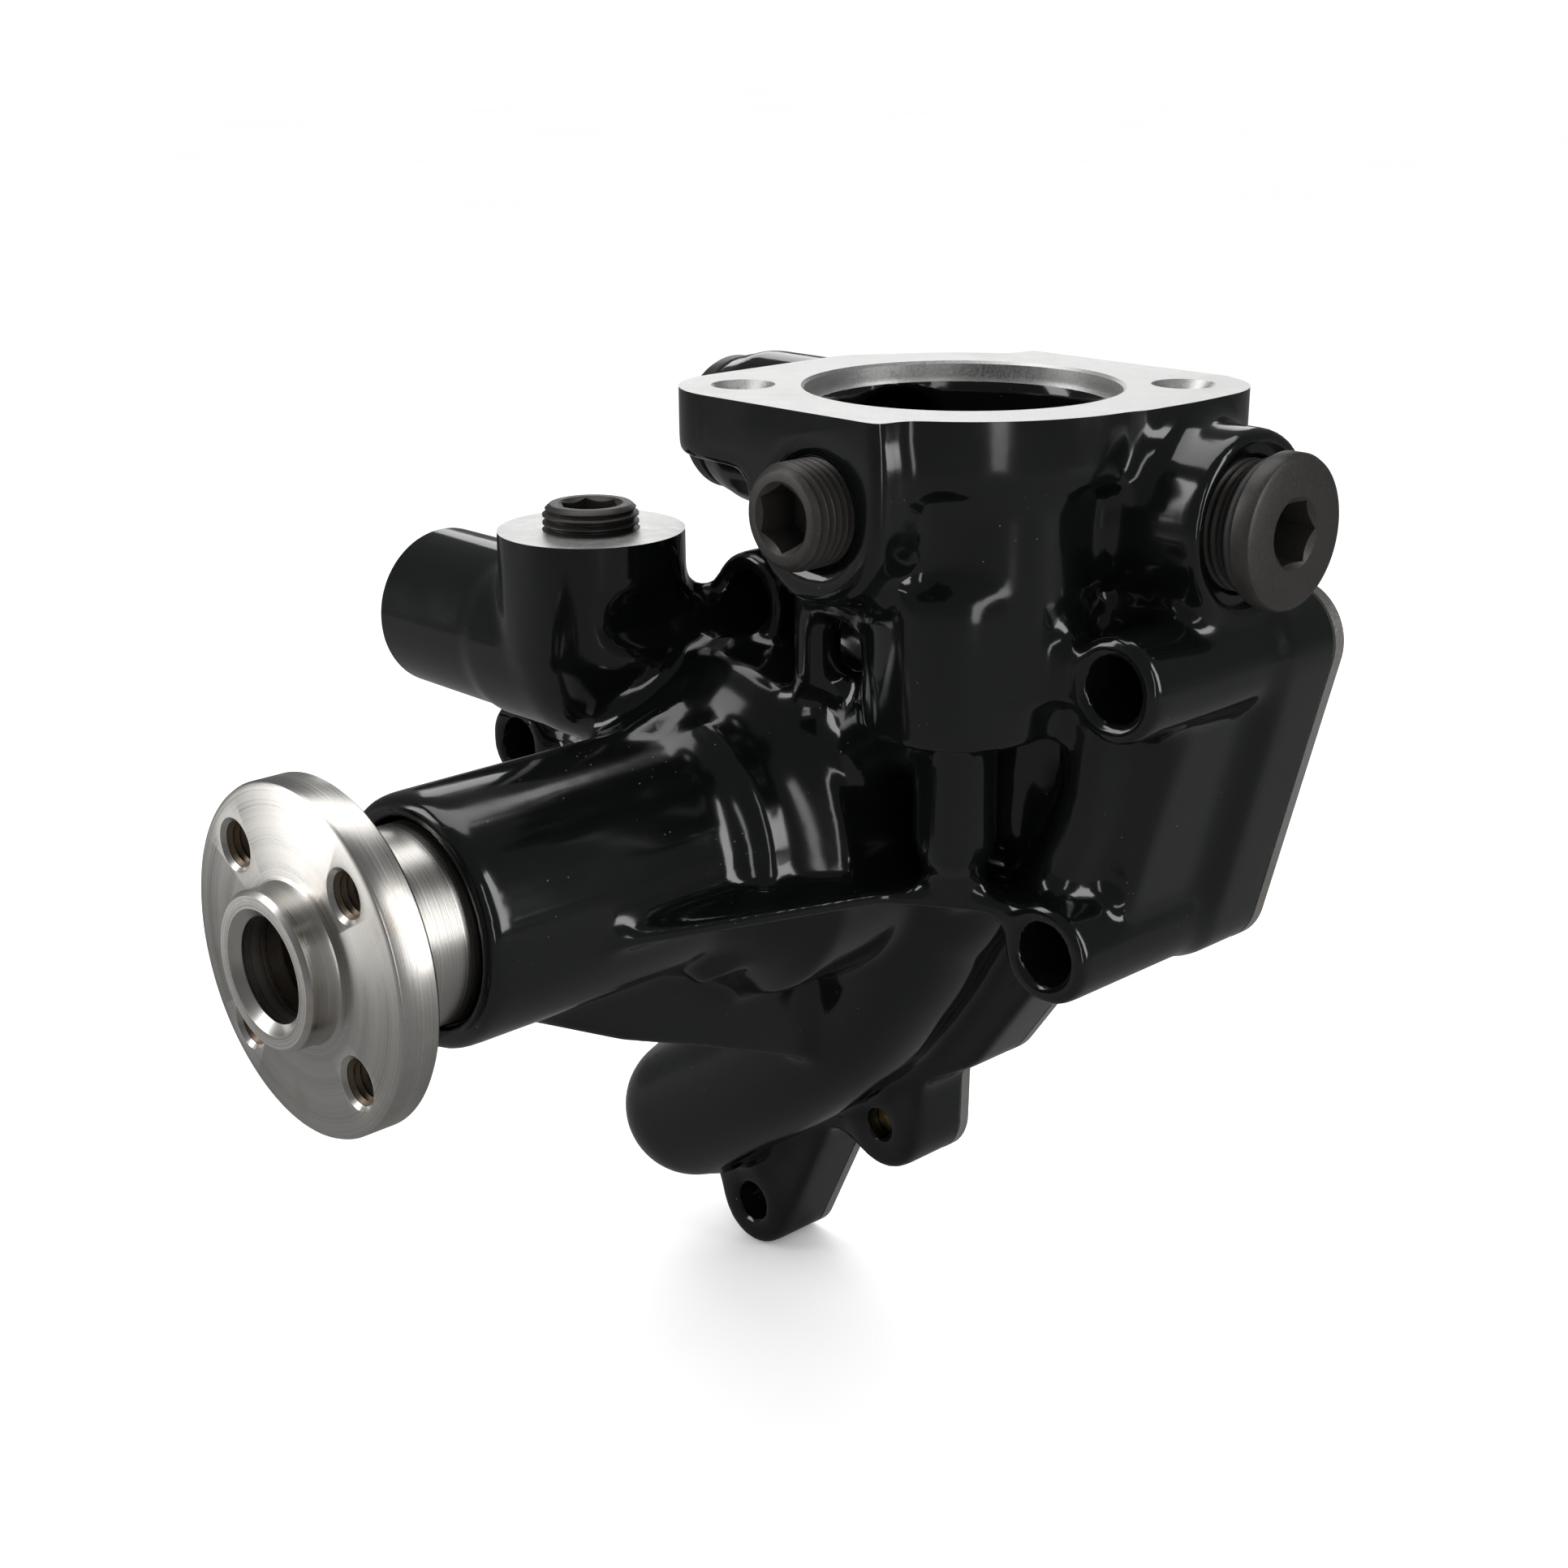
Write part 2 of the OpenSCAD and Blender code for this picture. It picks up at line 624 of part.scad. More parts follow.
module bearing_rollers() {
    color("#d5d6d8") for (i = [0:roller_count - 1]) rotate([0, i * 360 / roller_count, 0])
        translate([roller_ring_r, roller_y - roller_length / 2, 0]) rotate([-90, 0, 0])
            cylinder(h = roller_length, r = roller_d / 2, $fn = 48);
}

module roller_cage() {
    half = roller_length / 2 + 2;
    color("#c9c2ac") difference() {
        turned([[shaft_r + 0.6, roller_y - half], [race_bore_r - 0.6, roller_y - half],
            [race_bore_r - 0.6, roller_y + half], [shaft_r + 0.6, roller_y + half]]);
        for (i = [0:roller_count - 1]) rotate([0, i * 360 / roller_count, 0])
            translate([roller_ring_r, roller_y - roller_length / 2 - 0.2, 0]) rotate([-90, 0, 0])
                cylinder(h = roller_length + 0.4, r = roller_d / 2 + 0.1, $fn = 48);
    }
}

module bearing_seal(y) {
    color("#26282a") turned([[shaft_r + slide_gap, y], [race_bore_r, y], [race_bore_r, y + 1.4],
        [shaft_r + 2, y + 1.4], [shaft_r + 1, y + 1], [shaft_r + slide_gap, y + 1]]);
}

module front_bearing_seal() {
    bearing_seal(race_y + 0.6);
}

module rear_bearing_seal() {
    bearing_seal(race_end_y - 2);
}

module slinger() {
    y = race_end_y + 2.2;
    color("#8d8f90") turned([[tail_r, y], [tail_r + 1.5, y], [tail_r + 1.5, y + 0.6],
        [seal_bore_r - 2, y + 0.6],
        [seal_bore_r - 2, y + 1.6], [tail_r, y + 1.6]]);
}

// ---------- shaft seal ----------

cup_t = 0.8;
cup_y = seal_bore_y + 0.3;
carbon_end_y = suction_y + 3.2;
carbon_r = 12.4;
carbon_bore_r = tail_r + 1.4;

module seal_cup() {
    color("#c0a562") turned([[tail_r + 1.5, cup_y], [seal_bore_r, cup_y], [seal_bore_r, suction_y],
        [seal_bore_r + 3.5, suction_y], [seal_bore_r + 3.5, suction_y + 1],
        [seal_bore_r - cup_t, suction_y + 1],
        [seal_bore_r - cup_t, cup_y + cup_t], [tail_r + 1.5, cup_y + cup_t]]);
}

module seal_bellows() {
    y = cup_y + cup_t;
    r = seal_bore_r - cup_t;
    color("#1f2122") turned([[tail_r + 1.7, y], [r, y], [r, suction_y - 1], [r - 1, suction_y - 1],
        [r - 1, y + 1],
        [tail_r + 1.7, y + 1]]);
}

module seal_spring() {
    wire_r = 0.45;
    coil_r = 11.4;
    low_y = cup_y + cup_t + 1 + wire_r;
    high_y = suction_y - 3 - wire_r;
    turns = 3.5;
    sides = 8;
    steps = 70;
    points = [for (i = [0:steps]) let (a = i * 360 * turns / steps, y = low_y + (high_y - low_y) * i / steps)
        for (j = [0:sides - 1]) let (r = coil_r + wire_r * cos(j * 360 / sides))
            [r * cos(a), y + wire_r * sin(j * 360 / sides), r * sin(a)]];
    faces = [for (i = [0:steps - 1]) for (j = [0:sides - 1]) let (k = (j + 1) % sides)
        [i * sides + j, i * sides + k, (i + 1) * sides + k, (i + 1) * sides + j]];
    caps = [[for (j = [sides - 1:-1:0]) j], [for (j = [0:sides - 1]) steps * sides + j]];
    color("#9a9c9d") polyhedron(points, concat(faces, caps));
}

module carbon_ring() {
    color("#2b2c2e") turned([[carbon_bore_r, suction_y - 3], [carbon_r, suction_y - 3],
        [carbon_r, suction_y + 1.6],
        [carbon_r - 1, suction_y + 1.6], [carbon_r - 1, carbon_end_y], [carbon_bore_r, carbon_end_y]]);
}

module mating_ring() {
    y = carbon_end_y + slide_gap;
    color("#e4e0d4") turned([[tail_r + 1.2, y], [carbon_r + 0.6, y], [carbon_r + 0.6, y + 4],
        [tail_r + 1.2, y + 4]]);
}

module mating_ring_boot() {
    y = carbon_end_y + slide_gap;
    color("#1f2122") turned([[tail_r, y + 0.3], [tail_r + 1.2, y + 0.3], [tail_r + 1.2, y + 4],
        [carbon_r - 1, y + 4], [carbon_r - 1, y + 5.2], [tail_r, y + 5.2]]);
}

// ---------- impeller ----------

impeller_r = impeller_od / 2;
impeller_hub_r = 11.5;
impeller_front_y = carbon_end_y + slide_gap + 5.2;

module vane_outline() {
    sweep = impeller_r * 0.72;
    intersection() {
        circle(impeller_r, $fn = FINE);
        square([impeller_r, impeller_r * 2]);
        translate([0, sweep]) difference() {
            circle(sweep + vane_t / 2, $fn = FINE);
            circle(sweep - vane_t / 2, $fn = FINE);
        }
    }
}

module impeller() {
    color("#8f8b84") difference() {
        union() {
            turned([[0, impeller_front_y], [impeller_hub_r - 1, impeller_front_y],
                [impeller_hub_r, impeller_front_y + 1],
                [impeller_hub_r, vane_back_y - 4], [impeller_hub_r + 3, vane_back_y],
                [impeller_r, vane_back_y],
                [impeller_r, vane_back_y + impeller_disc_t], [0, vane_back_y + impeller_disc_t]]);
            for (i = [0:vane_count - 1])
                facing_front(vane_back_y + 0.5, vane_h + 0.5) rotate(i * 360 / vane_count) vane_outline();
        }
        on_shaft(impeller_front_y - 1) cylinder(h = 80, r = tail_r, $fn = FINE);
    }
}

// ---------- screw plugs ----------

function thread(r, from, to, pitch) =
    [for (z = [from:-pitch:to]) each [[r, z], [r, z - pitch * 0.2], [r - 0.85, z - pitch * 0.55],
    [r - 0.85, z - pitch * 0.7]]];

module hex_socket(depth) {
    corner_r = socket_af / 2 / cos(30);
    translate([0, 0, -depth]) cylinder(h = depth + 1, r = corner_r, $fn = 6);
    translate([0, 0, -0.9]) cylinder(h = 1, r1 = corner_r - 0.5, r2 = corner_r + 0.5, $fn = 48);
}

// Threaded plug whose outer face lies at z = 0 and whose thread runs down.
module socket_plug() {
    r = plug_d / 2;
    difference() {
        rotate_extrude($fn = ROUND) polygon(concat([[0, -plug_length], [0, 0], [r - 1.1, 0],
            [r - 0.2, -0.9]],
            thread(r, -1, -plug_length + 2, plug_pitch), [[r - 1.2, -plug_length]]));
        hex_socket(8);
    }
}

module flanged_plug() {
    r = flanged_plug_d / 2;
    head_r = plug_head_d / 2;
    difference() {
        rotate_extrude($fn = FINE) polygon(concat([[0, -plug_head_t - 12], [0, 0], [head_r - 0.8, 0],
            [head_r, -0.8],
            [head_r, -plug_head_t + 0.4], [head_r - 0.4, -plug_head_t], [r - 0.9, -plug_head_t],
            [r - 0.9, -plug_head_t - 2.4]], thread(r, -plug_head_t - 2.6, -plug_head_t - 10, plug_pitch),
            [[r - 1.2, -plug_head_t - 12]]));
        hex_socket(8);
    }
}

front_plug_out = 6.5;
inlet_plug_out = 4.8;
right_plug_x = side_boss_x + 7.6;
left_plug_x = outlet_x - 4.4;

module front_plug() {
    color(OXIDE) translate([front_boss_x, front_boss_y - front_plug_out, front_boss_z])
        rotate([90, 0, 0]) socket_plug();
}

module inlet_plug() {
    color(OXIDE) translate([inlet_boss_x, -inlet_y, inlet_boss_z + inlet_plug_out]) socket_plug();
}

module right_side_plug() {
    color(OXIDE) translate([right_plug_x, side_boss_y, side_boss_z]) rotate([0, 90, 0]) flanged_plug();
}

module left_side_plug() {
    color(OXIDE) translate([left_plug_x, outlet_y, outlet_z]) rotate([0, -90, 0]) flanged_plug();
}

module plug_seal_ring() {
    ring_r = 1;
    seat = flanged_plug_d / 2 - 0.9 + ring_r;
    color("#1f2122")
        translate([right_plug_x - plug_head_t - ring_r, side_boss_y, side_boss_z]) rotate([0, 90, 0])
            rotate_extrude($fn = FINE) translate([seat, 0]) circle(ring_r, $fn = 32);
}

pump_housing();
back_plate();
back_plate_gasket();
back_plate_screws();
hub_flange();
pump_shaft();
bearing_outer_race();
bearing_balls();
ball_cage();
bearing_rollers();
roller_cage();
front_bearing_seal();
rear_bearing_seal();
slinger();
seal_cup();
seal_bellows();
seal_spring();
carbon_ring();
mating_ring();
mating_ring_boot();
impeller();
front_plug();
right_side_plug();
left_side_plug();
inlet_plug();
plug_seal_ring();
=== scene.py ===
import math

import bmesh
import bpy
from bpy.props import FloatProperty, FloatVectorProperty, IntProperty, PointerProperty
from bpy.types import Operator, Panel, PropertyGroup
from mathutils import Matrix, Vector


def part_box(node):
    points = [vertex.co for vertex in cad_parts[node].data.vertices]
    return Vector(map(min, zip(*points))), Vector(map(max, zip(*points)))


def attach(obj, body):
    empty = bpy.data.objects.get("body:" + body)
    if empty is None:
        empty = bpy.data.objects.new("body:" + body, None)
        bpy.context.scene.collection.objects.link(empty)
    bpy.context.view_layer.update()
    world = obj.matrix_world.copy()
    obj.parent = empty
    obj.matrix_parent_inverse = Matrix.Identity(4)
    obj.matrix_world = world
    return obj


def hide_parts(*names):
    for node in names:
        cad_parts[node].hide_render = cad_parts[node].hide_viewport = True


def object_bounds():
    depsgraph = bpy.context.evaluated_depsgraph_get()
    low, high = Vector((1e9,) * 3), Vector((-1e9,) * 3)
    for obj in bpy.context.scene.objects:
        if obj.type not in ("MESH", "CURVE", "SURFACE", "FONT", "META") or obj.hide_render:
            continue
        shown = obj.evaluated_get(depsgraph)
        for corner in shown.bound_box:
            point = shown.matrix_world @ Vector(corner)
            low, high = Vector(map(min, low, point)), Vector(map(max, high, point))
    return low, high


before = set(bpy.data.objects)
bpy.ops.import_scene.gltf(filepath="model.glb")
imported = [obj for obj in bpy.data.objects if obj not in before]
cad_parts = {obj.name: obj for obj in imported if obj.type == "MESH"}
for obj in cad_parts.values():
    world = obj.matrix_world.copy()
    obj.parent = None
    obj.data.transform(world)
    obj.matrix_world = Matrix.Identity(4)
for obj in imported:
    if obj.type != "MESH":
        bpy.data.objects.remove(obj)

bl_info = {
    "name": "Engine Water Pump",
    "version": (1, 0, 0),
    "blender": (4, 5, 0),
    "location": "3D View > Sidebar > Water Pump",
    "description": "Models and finishes a cast-iron engine water pump with its thermostat housing",
    "category": "Object",
}

MM = 0.001
CAD_BOX = [list(corner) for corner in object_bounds()]
SHAFT = Matrix.Rotation(math.radians(-90), 4, "X")
ALONG_X = Matrix.Rotation(math.radians(90), 4, "Y")
SMOOTH_EDGE = math.radians(32)
TOUCH = 0.02 * MM
HOSE_END = -76 * MM
INLET_FACE = 53.5 * MM
CHAMBER_FLOOR = 52 * MM
SCROLL_STATION = -28.1 * MM


def centre(node):
    """Middle of a CAD node's box."""
    low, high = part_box(node)
    return (Vector(low) + Vector(high)) / 2


# ---------- sizes and colours ----------

class CastingSizes(PropertyGroup):
    """Places and sizes of the housing's machined faces and bores."""

    voxel: FloatProperty(name="Skin Detail", default=0.75 * MM, min=0.5 * MM, unit="LENGTH",
                         description="Grid size of the cast skin")
    fillet: FloatProperty(name="Fillet", default=2.2 * MM, min=0, unit="LENGTH",
                          description="Radius of the cast inner corners")
    edge_passes: IntProperty(name="Edge Rounding", default=20, min=0,
                             description="Smoothing passes that round the cast outer edges")
    cover_face: FloatProperty(name="Cover Face", default=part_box("pump_housing")[1][2], unit="LENGTH",
                              description="Height of the machined thermostat cover face")
    thermostat: FloatVectorProperty(name="Thermostat Axis", default=(34.3 * MM, -37 * MM), size=2, unit="LENGTH",
                                    description="Place of the thermostat axis")
    seat_radius: FloatProperty(name="Seat Radius", default=27.5 * MM, unit="LENGTH",
                               description="Radius of the turned thermostat seat")
    seat_depth: FloatProperty(name="Seat Depth", default=3.5 * MM, unit="LENGTH",
                              description="Depth of the turned thermostat seat")
    chamber_radius: FloatProperty(name="Chamber Radius", default=25.5 * MM, unit="LENGTH",
                                  description="Radius of the thermostat chamber")
    cover_bolt_reach: FloatProperty(name="Cover Bolt Reach", default=38 * MM, unit="LENGTH",
                                    description="Distance of a cover bolt from the thermostat axis")
    rear_face: FloatProperty(name="Rear Face", default=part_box("pump_housing")[1][1], unit="LENGTH",
                             description="Station of the cover flange's rear edge")
    joint_face: FloatProperty(name="Joint Face", default=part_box("back_plate_gasket")[0][1], unit="LENGTH",
                              description="Station of the machined face behind the gasket")


class HubSizes(PropertyGroup):
    """Sizes of the pulley hub."""

    flange_radius: FloatProperty(name="Flange Radius", default=30 * MM, unit="LENGTH",
                                 description="Outer radius of the pulley flange")
    flange_depth: FloatProperty(name="Flange Thickness", default=7.3 * MM, unit="LENGTH",
                                description="Thickness of the pulley flange")
    pilot_radius: FloatProperty(name="Pilot Radius", default=13.5 * MM, unit="LENGTH",
                                description="Radius of the raised pulley pilot")
    pilot_height: FloatProperty(name="Pilot Height", default=6 * MM, unit="LENGTH",
                                description="Height of the pulley pilot")
    barrel_radius: FloatProperty(name="Barrel Radius", default=17.5 * MM, unit="LENGTH",
                                 description="Radius of the barrel behind the flange")
    bore_radius: FloatProperty(name="Bore Radius", default=9 * MM, unit="LENGTH",
                               description="Radius of the shaft bore")
    bolt_circle: FloatProperty(name="Bolt Circle Radius", default=22.5 * MM, unit="LENGTH",
                               description="Radius of the circle of tapped holes")
    bolt_count: IntProperty(name="Tapped Holes", default=4, min=3, max=6,
                            description="Number of tapped pulley holes")


class PlugSizes(PropertyGroup):
    """Sizes of the hex-socket plugs."""

    radius: FloatProperty(name="Thread Radius", default=9 * MM, unit="LENGTH",
                          description="Outer radius of the small plugs' thread")
    length: FloatProperty(name="Length", default=16 * MM, unit="LENGTH", description="Length of a small plug")
    flanged_radius: FloatProperty(name="Flanged Thread Radius", default=11 * MM, unit="LENGTH",
                                  description="Outer radius of the flanged plugs' thread")
    head_radius: FloatProperty(name="Head Radius", default=13 * MM, unit="LENGTH",
                               description="Radius of a flanged plug's head")
    head_depth: FloatProperty(name="Head Thickness", default=4 * MM, unit="LENGTH",
                              description="Thickness of a flanged plug's head")
    pitch: FloatProperty(name="Pitch", default=1.5 * MM, unit="LENGTH", description="Pitch of the plug threads")
    socket: FloatProperty(name="Socket", default=10 * MM, unit="LENGTH",
                          description="Width of the hex sockets across flats")


class Finishes(PropertyGroup):
    """Colours of the pump's finishes."""

    enamel: FloatVectorProperty(name="Enamel", default=(0.0021, 0.0024, 0.0025), size=3, subtype="COLOR",
                                min=0, max=1, description="Gloss enamel of the casting")
    steel: FloatVectorProperty(name="Turned Steel", default=(0.61, 0.59, 0.56), size=3, subtype="COLOR",
                               min=0, max=1, description="Turned steel of the hub and the shaft")
    iron: FloatVectorProperty(name="Machined Iron", default=(0.70, 0.70, 0.69), size=3, subtype="COLOR",
                              min=0, max=1, description="Bare machined faces of the casting")
    oxide: FloatVectorProperty(name="Black Oxide", default=(0.052, 0.049, 0.046), size=3, subtype="COLOR",
                               min=0, max=1, description="Oxide finish of the screw plugs")
    zinc: FloatVectorProperty(name="Yellow Zinc", default=(0.62, 0.47, 0.20), size=3, subtype="COLOR",
                              min=0, max=1, description="Plating of the back plate screws")


class StageSizes(PropertyGroup):
    """Lights, floor and camera."""

    camera_place: FloatVectorProperty(name="Camera", default=(0.2997, -0.3308, 0.1447), size=3,
                                      subtype="TRANSLATION", unit="LENGTH", description="Place of the camera")
    focal_length: FloatProperty(name="Focal Length", default=52.33, unit="CAMERA",
                                description="Lens of the camera on a 36 mm frame")
    light: FloatProperty(name="Light", default=1.0, min=0, description="Strength of the studio lights")


# ---------- meshes ----------

def new_piece(name, bm, *materials):
    """A finished object from a bmesh, with its place in its mesh."""
    mesh = bpy.data.meshes.new(name)
    bm.to_mesh(mesh)
    bm.free()
    piece = bpy.data.objects.new(name, mesh)
    bpy.context.scene.collection.objects.link(piece)
    for material in materials:
        mesh.materials.append(material)
    return piece


def turned(points, place=None, steps=96):
    """A solid turned about Z from (radius, height) points, from axis to axis, or a ring from points off the axis."""
    bm = bmesh.new()
    corners = [bm.verts.new((radius, 0, height)) for radius, height in points]
    pairs = list(zip(corners, corners[1:]))
    if points[0][0] > 0:
        pairs.append((corners[-1], corners[0]))
    edges = [bm.edges.new(pair) for pair in pairs]
    bmesh.ops.spin(bm, geom=corners + edges, cent=(0, 0, 0), axis=(0, 0, 1), angle=math.tau, steps=steps,
                   use_merge=True, use_duplicate=False)
    bmesh.ops.remove_doubles(bm, verts=bm.verts, dist=1e-7)
    bmesh.ops.recalc_face_normals(bm, faces=bm.faces)
    if place is not None:
        bm.transform(place)
    return bm


def rod(radius, low, high, place=None, steps=64):
    """A plain round solid along Z, as a cutter."""
    return turned([(0, low), (radius, low), (radius, high), (0, high)], place, steps)


def block(low, high):
    """A plain box between two corners, as a cutter."""
    bm = bmesh.new()
    size = Vector(high) - Vector(low)
    bmesh.ops.create_cube(bm, size=1, matrix=Matrix.Translation((Vector(low) + Vector(high)) / 2)
                          @ Matrix.Diagonal((*size, 1)))
    return bm


def hexagon(across, low, high, place=None):
    """A hexagonal solid along Z."""
    bm = bmesh.new()
    corner = across / math.sqrt(3)
    bmesh.ops.create_cone(bm, cap_ends=True, segments=6, radius1=corner, radius2=corner, depth=high - low,
                          matrix=Matrix.Translation((0, 0, (low + high) / 2)))
    if place is not None:
        bm.transform(place)
    return bm


def gather(*parts):
    """One bmesh that holds several, which are freed."""
    whole = bmesh.new()
    for part in parts:
        mesh = bpy.data.meshes.new("part")
        part.to_mesh(mesh)
        part.free()
        whole.from_mesh(mesh)
        bpy.data.meshes.remove(mesh)
    return whole


def settle(piece):
    """Applies the piece's modifiers to its own mesh."""
    bpy.context.view_layer.update()
    seen = piece.evaluated_get(bpy.context.evaluated_depsgraph_get())
    finished = bpy.data.meshes.new_from_object(seen)
    piece.modifiers.clear()
    rough = piece.data
    piece.data = finished
    bpy.data.meshes.remove(rough)
    finished.name = piece.name


def cut(piece, *cutters):
    """Cuts each solid out of the piece in turn."""
    for cutter in cutters:
        tool = new_piece("cutter", cutter)
        step = piece.modifiers.new("cut", "BOOLEAN")
        step.operation = "DIFFERENCE"
        step.solver = "MANIFOLD"
        step.object = tool
        settle(piece)
        mesh = tool.data
        bpy.data.objects.remove(tool)
        bpy.data.meshes.remove(mesh)


def shade(piece, angle=SMOOTH_EDGE):
    """Smooth faces with sharp edges where the surface turns by more than the angle."""
    bm = bmesh.new()
    bm.from_mesh(piece.data)
    bmesh.ops.dissolve_degenerate(bm, dist=1e-7, edges=bm.edges)
    for face in bm.faces:
        face.smooth = True
    for edge in bm.edges:
        edge.smooth = len(edge.link_faces) == 2 and edge.calc_face_angle() < angle
    bm.to_mesh(piece.data)
    bm.free()


def copied(node):
    """A merged bmesh copy of a CAD node."""
    bm = bmesh.new()
    bm.from_mesh(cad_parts[node].data)
    bmesh.ops.remove_doubles(bm, verts=bm.verts, dist=2e-6)
    return bm


def along(points, steps=8):
    """A smooth line through the points, with some steps between each two."""
    line = [Vector(point) for point in points]
    ends = [line[0] * 2 - line[1]] + line + [line[-1] * 2 - line[-2]]
    smooth = []
    for a, b, c, d in zip(ends, ends[1:], ends[2:], ends[3:]):
        for step in range(steps):
            t = step / steps
            smooth.append(0.5 * (2 * b + (c - a) * t + (2 * a - 5 * b + 4 * c - d) * t ** 2
                                 + (3 * b - a - 3 * c + d) * t ** 3))
    return smooth + [line[-1]]


def swept(points, first, last, steps=8, segments=40):
    """A round solid along a smooth line, from one radius to another, with rounded ends."""
    line = along(points, steps)
    line = [line[0] * 2 - line[1]] + line + [line[-1] * 2 - line[-2]]
    frames = []
    for i in range(1, len(line) - 1):
        turn = (line[i + 1] - line[i - 1]).to_track_quat("Z", "Y").to_matrix().to_4x4()
        grown = first + (last - first) * (i - 1) / max(1, len(line) - 3)
        frames.append(Matrix.Translation(line[i]) @ turn @ Matrix.Scale(grown, 4))
    dome = [math.radians(angle) for angle in (80, 60, 40, 20)]
    caps = [Matrix.Translation((0, 0, math.sin(a))) @ Matrix.Diagonal((math.cos(a), math.cos(a), 1, 1)) for a in dome]
    low = [frames[0] @ Matrix.Rotation(math.pi, 4, "X") @ cap @ Matrix.Rotation(-math.pi, 4, "X") for cap in caps]
    frames = low + frames + [frames[-1] @ cap for cap in reversed(caps)]
    bm = bmesh.new()
    bmesh.ops.create_circle(bm, cap_ends=True, segments=segments, radius=1, matrix=frames[0])
    end = bm.faces[:]
    for number, (here, there) in enumerate(zip(frames, frames[1:])):
        made = bmesh.ops.extrude_face_region(bm, geom=end)["geom"]
        if number:
            bmesh.ops.delete(bm, geom=[face for face in end if face.is_valid], context="FACES_ONLY")
        end = [item for item in made if isinstance(item, bmesh.types.BMFace)]
        verts = [item for item in made if isinstance(item, bmesh.types.BMVert)]
        bmesh.ops.transform(bm, matrix=there @ here.inverted(), verts=verts)
    bmesh.ops.recalc_face_normals(bm, faces=bm.faces)
    return bm


def thread(radius, start, end, pitch, depth):
    """Points down the crests and roots of a screw thread, as (radius, height)."""
    points = []
    height = start
    while height - pitch > end:
        points += [(radius - depth, height), (radius, height - pitch * 0.38), (radius, height - pitch * 0.55),
                   (radius - depth, height - pitch * 0.92)]
        height -= pitch
    return points


# ---------- shader nodes ----------

class Wiring:
    """Adds nodes to one tree and links them by name."""

    def __init__(self, tree):
        self.tree = tree

    def node(self, kind, settings=None, **inputs):
        made = self.tree.nodes.new(kind)
        for name, value in (settings or {}).items():
            setattr(made, name, value)
        for name, value in inputs.items():
            self.feed(made, name.replace("_", " "), value)
        return made

    def feed(self, node, name, value):
        socket = node.inputs[int(name[1:])] if name[:1] == "n" and name[1:].isdigit() else node.inputs[name]
        if isinstance(value, bpy.types.NodeSocket):
            self.tree.links.new(value, socket)
        else:
            socket.default_value = value

    def math(self, operation, *values):
        made = self.tree.nodes.new("ShaderNodeMath")
        made.operation = operation
        for place, value in enumerate(values):
            self.feed(made, f"n{place}", value)
        return made.outputs[0]

    def noise(self, vector, scale, detail=2.0, rough=0.5):
        return self.node("ShaderNodeTexNoise", Vector=vector, Scale=scale, Detail=detail,
                         Roughness=rough).outputs["Fac"]

    def span(self, value, low, high, to_low=0.0, to_high=1.0):
        made = self.node("ShaderNodeMapRange", {"clamp": True})
        for place, number in enumerate((value, low, high, to_low, to_high)):
            self.feed(made, f"n{place}", number)
        return made.outputs[0]

    def blend(self, amount, first, second):
        made = self.node("ShaderNodeMix", {"data_type": "RGBA", "blend_type": "MIX"})
        for socket, value in ((0, amount), (6, first), (7, second)):
            self.feed(made, f"n{socket}", value)
        return made.outputs[2]

    def bump(self, height, distance, strength):
        return self.node("ShaderNodeBump", Height=height, Distance=distance, Strength=strength).outputs[0]


def effect(name, inputs, outputs, build):
    """A shared node group with named float inputs and outputs; build(wiring, inputs) gives its output values."""
    if name in bpy.data.node_groups:
        return bpy.data.node_groups[name]
    group = bpy.data.node_groups.new(name, "ShaderNodeTree")
    for label, value in inputs:
        socket = group.interface.new_socket(name=label, in_out="INPUT", socket_type="NodeSocketFloat")
        socket.default_value = value
    for label in outputs:
        group.interface.new_socket(name=label, in_out="OUTPUT", socket_type="NodeSocketFloat")
    entry = group.nodes.new("NodeGroupInput")
    leave = group.nodes.new("NodeGroupOutput")
    results = build(Wiring(group), entry.outputs)
    for label, value in zip(outputs, results):
        group.links.new(value, leave.inputs[label])
    return group


def dust_specks():
    """Sparse light specks: Mask."""

    def build(w, given):
        place = w.node("ShaderNodeTexCoord").outputs["Object"]
        cells = w.node("ShaderNodeTexVoronoi", {"feature": "F1"}, Vector=place, Scale=given["Scale"])
        near = w.span(cells.outputs["Distance"], 0.10, 0.03)
        patch = w.span(w.noise(place, 31.0, 2.0), 0.52, 0.66)
        pick = w.span(w.noise(cells.outputs["Position"], 977.0, 0.0), 0.56, 0.60)
        return [w.math("MULTIPLY", w.math("MULTIPLY", near, pick), patch)]

    return effect("Dust Specks", [("Scale", 620.0)], ["Mask"], build)


def cast_skin():
    """Height of a sand-cast surface under a coat of paint: Height."""

    def build(w, given):
        place = w.node("ShaderNodeTexCoord").outputs["Object"]
        lumps = w.noise(place, given["Lumps"], 2.0, 0.45)
        peel = w.noise(place, given["Peel"], 1.0, 0.4)
        return [w.math("ADD", w.math("MULTIPLY", lumps, 1.0), w.math("MULTIPLY", peel, 0.10))]

    return effect("Cast Skin", [("Lumps", 75.0), ("Peel", 420.0)], ["Height"], build)


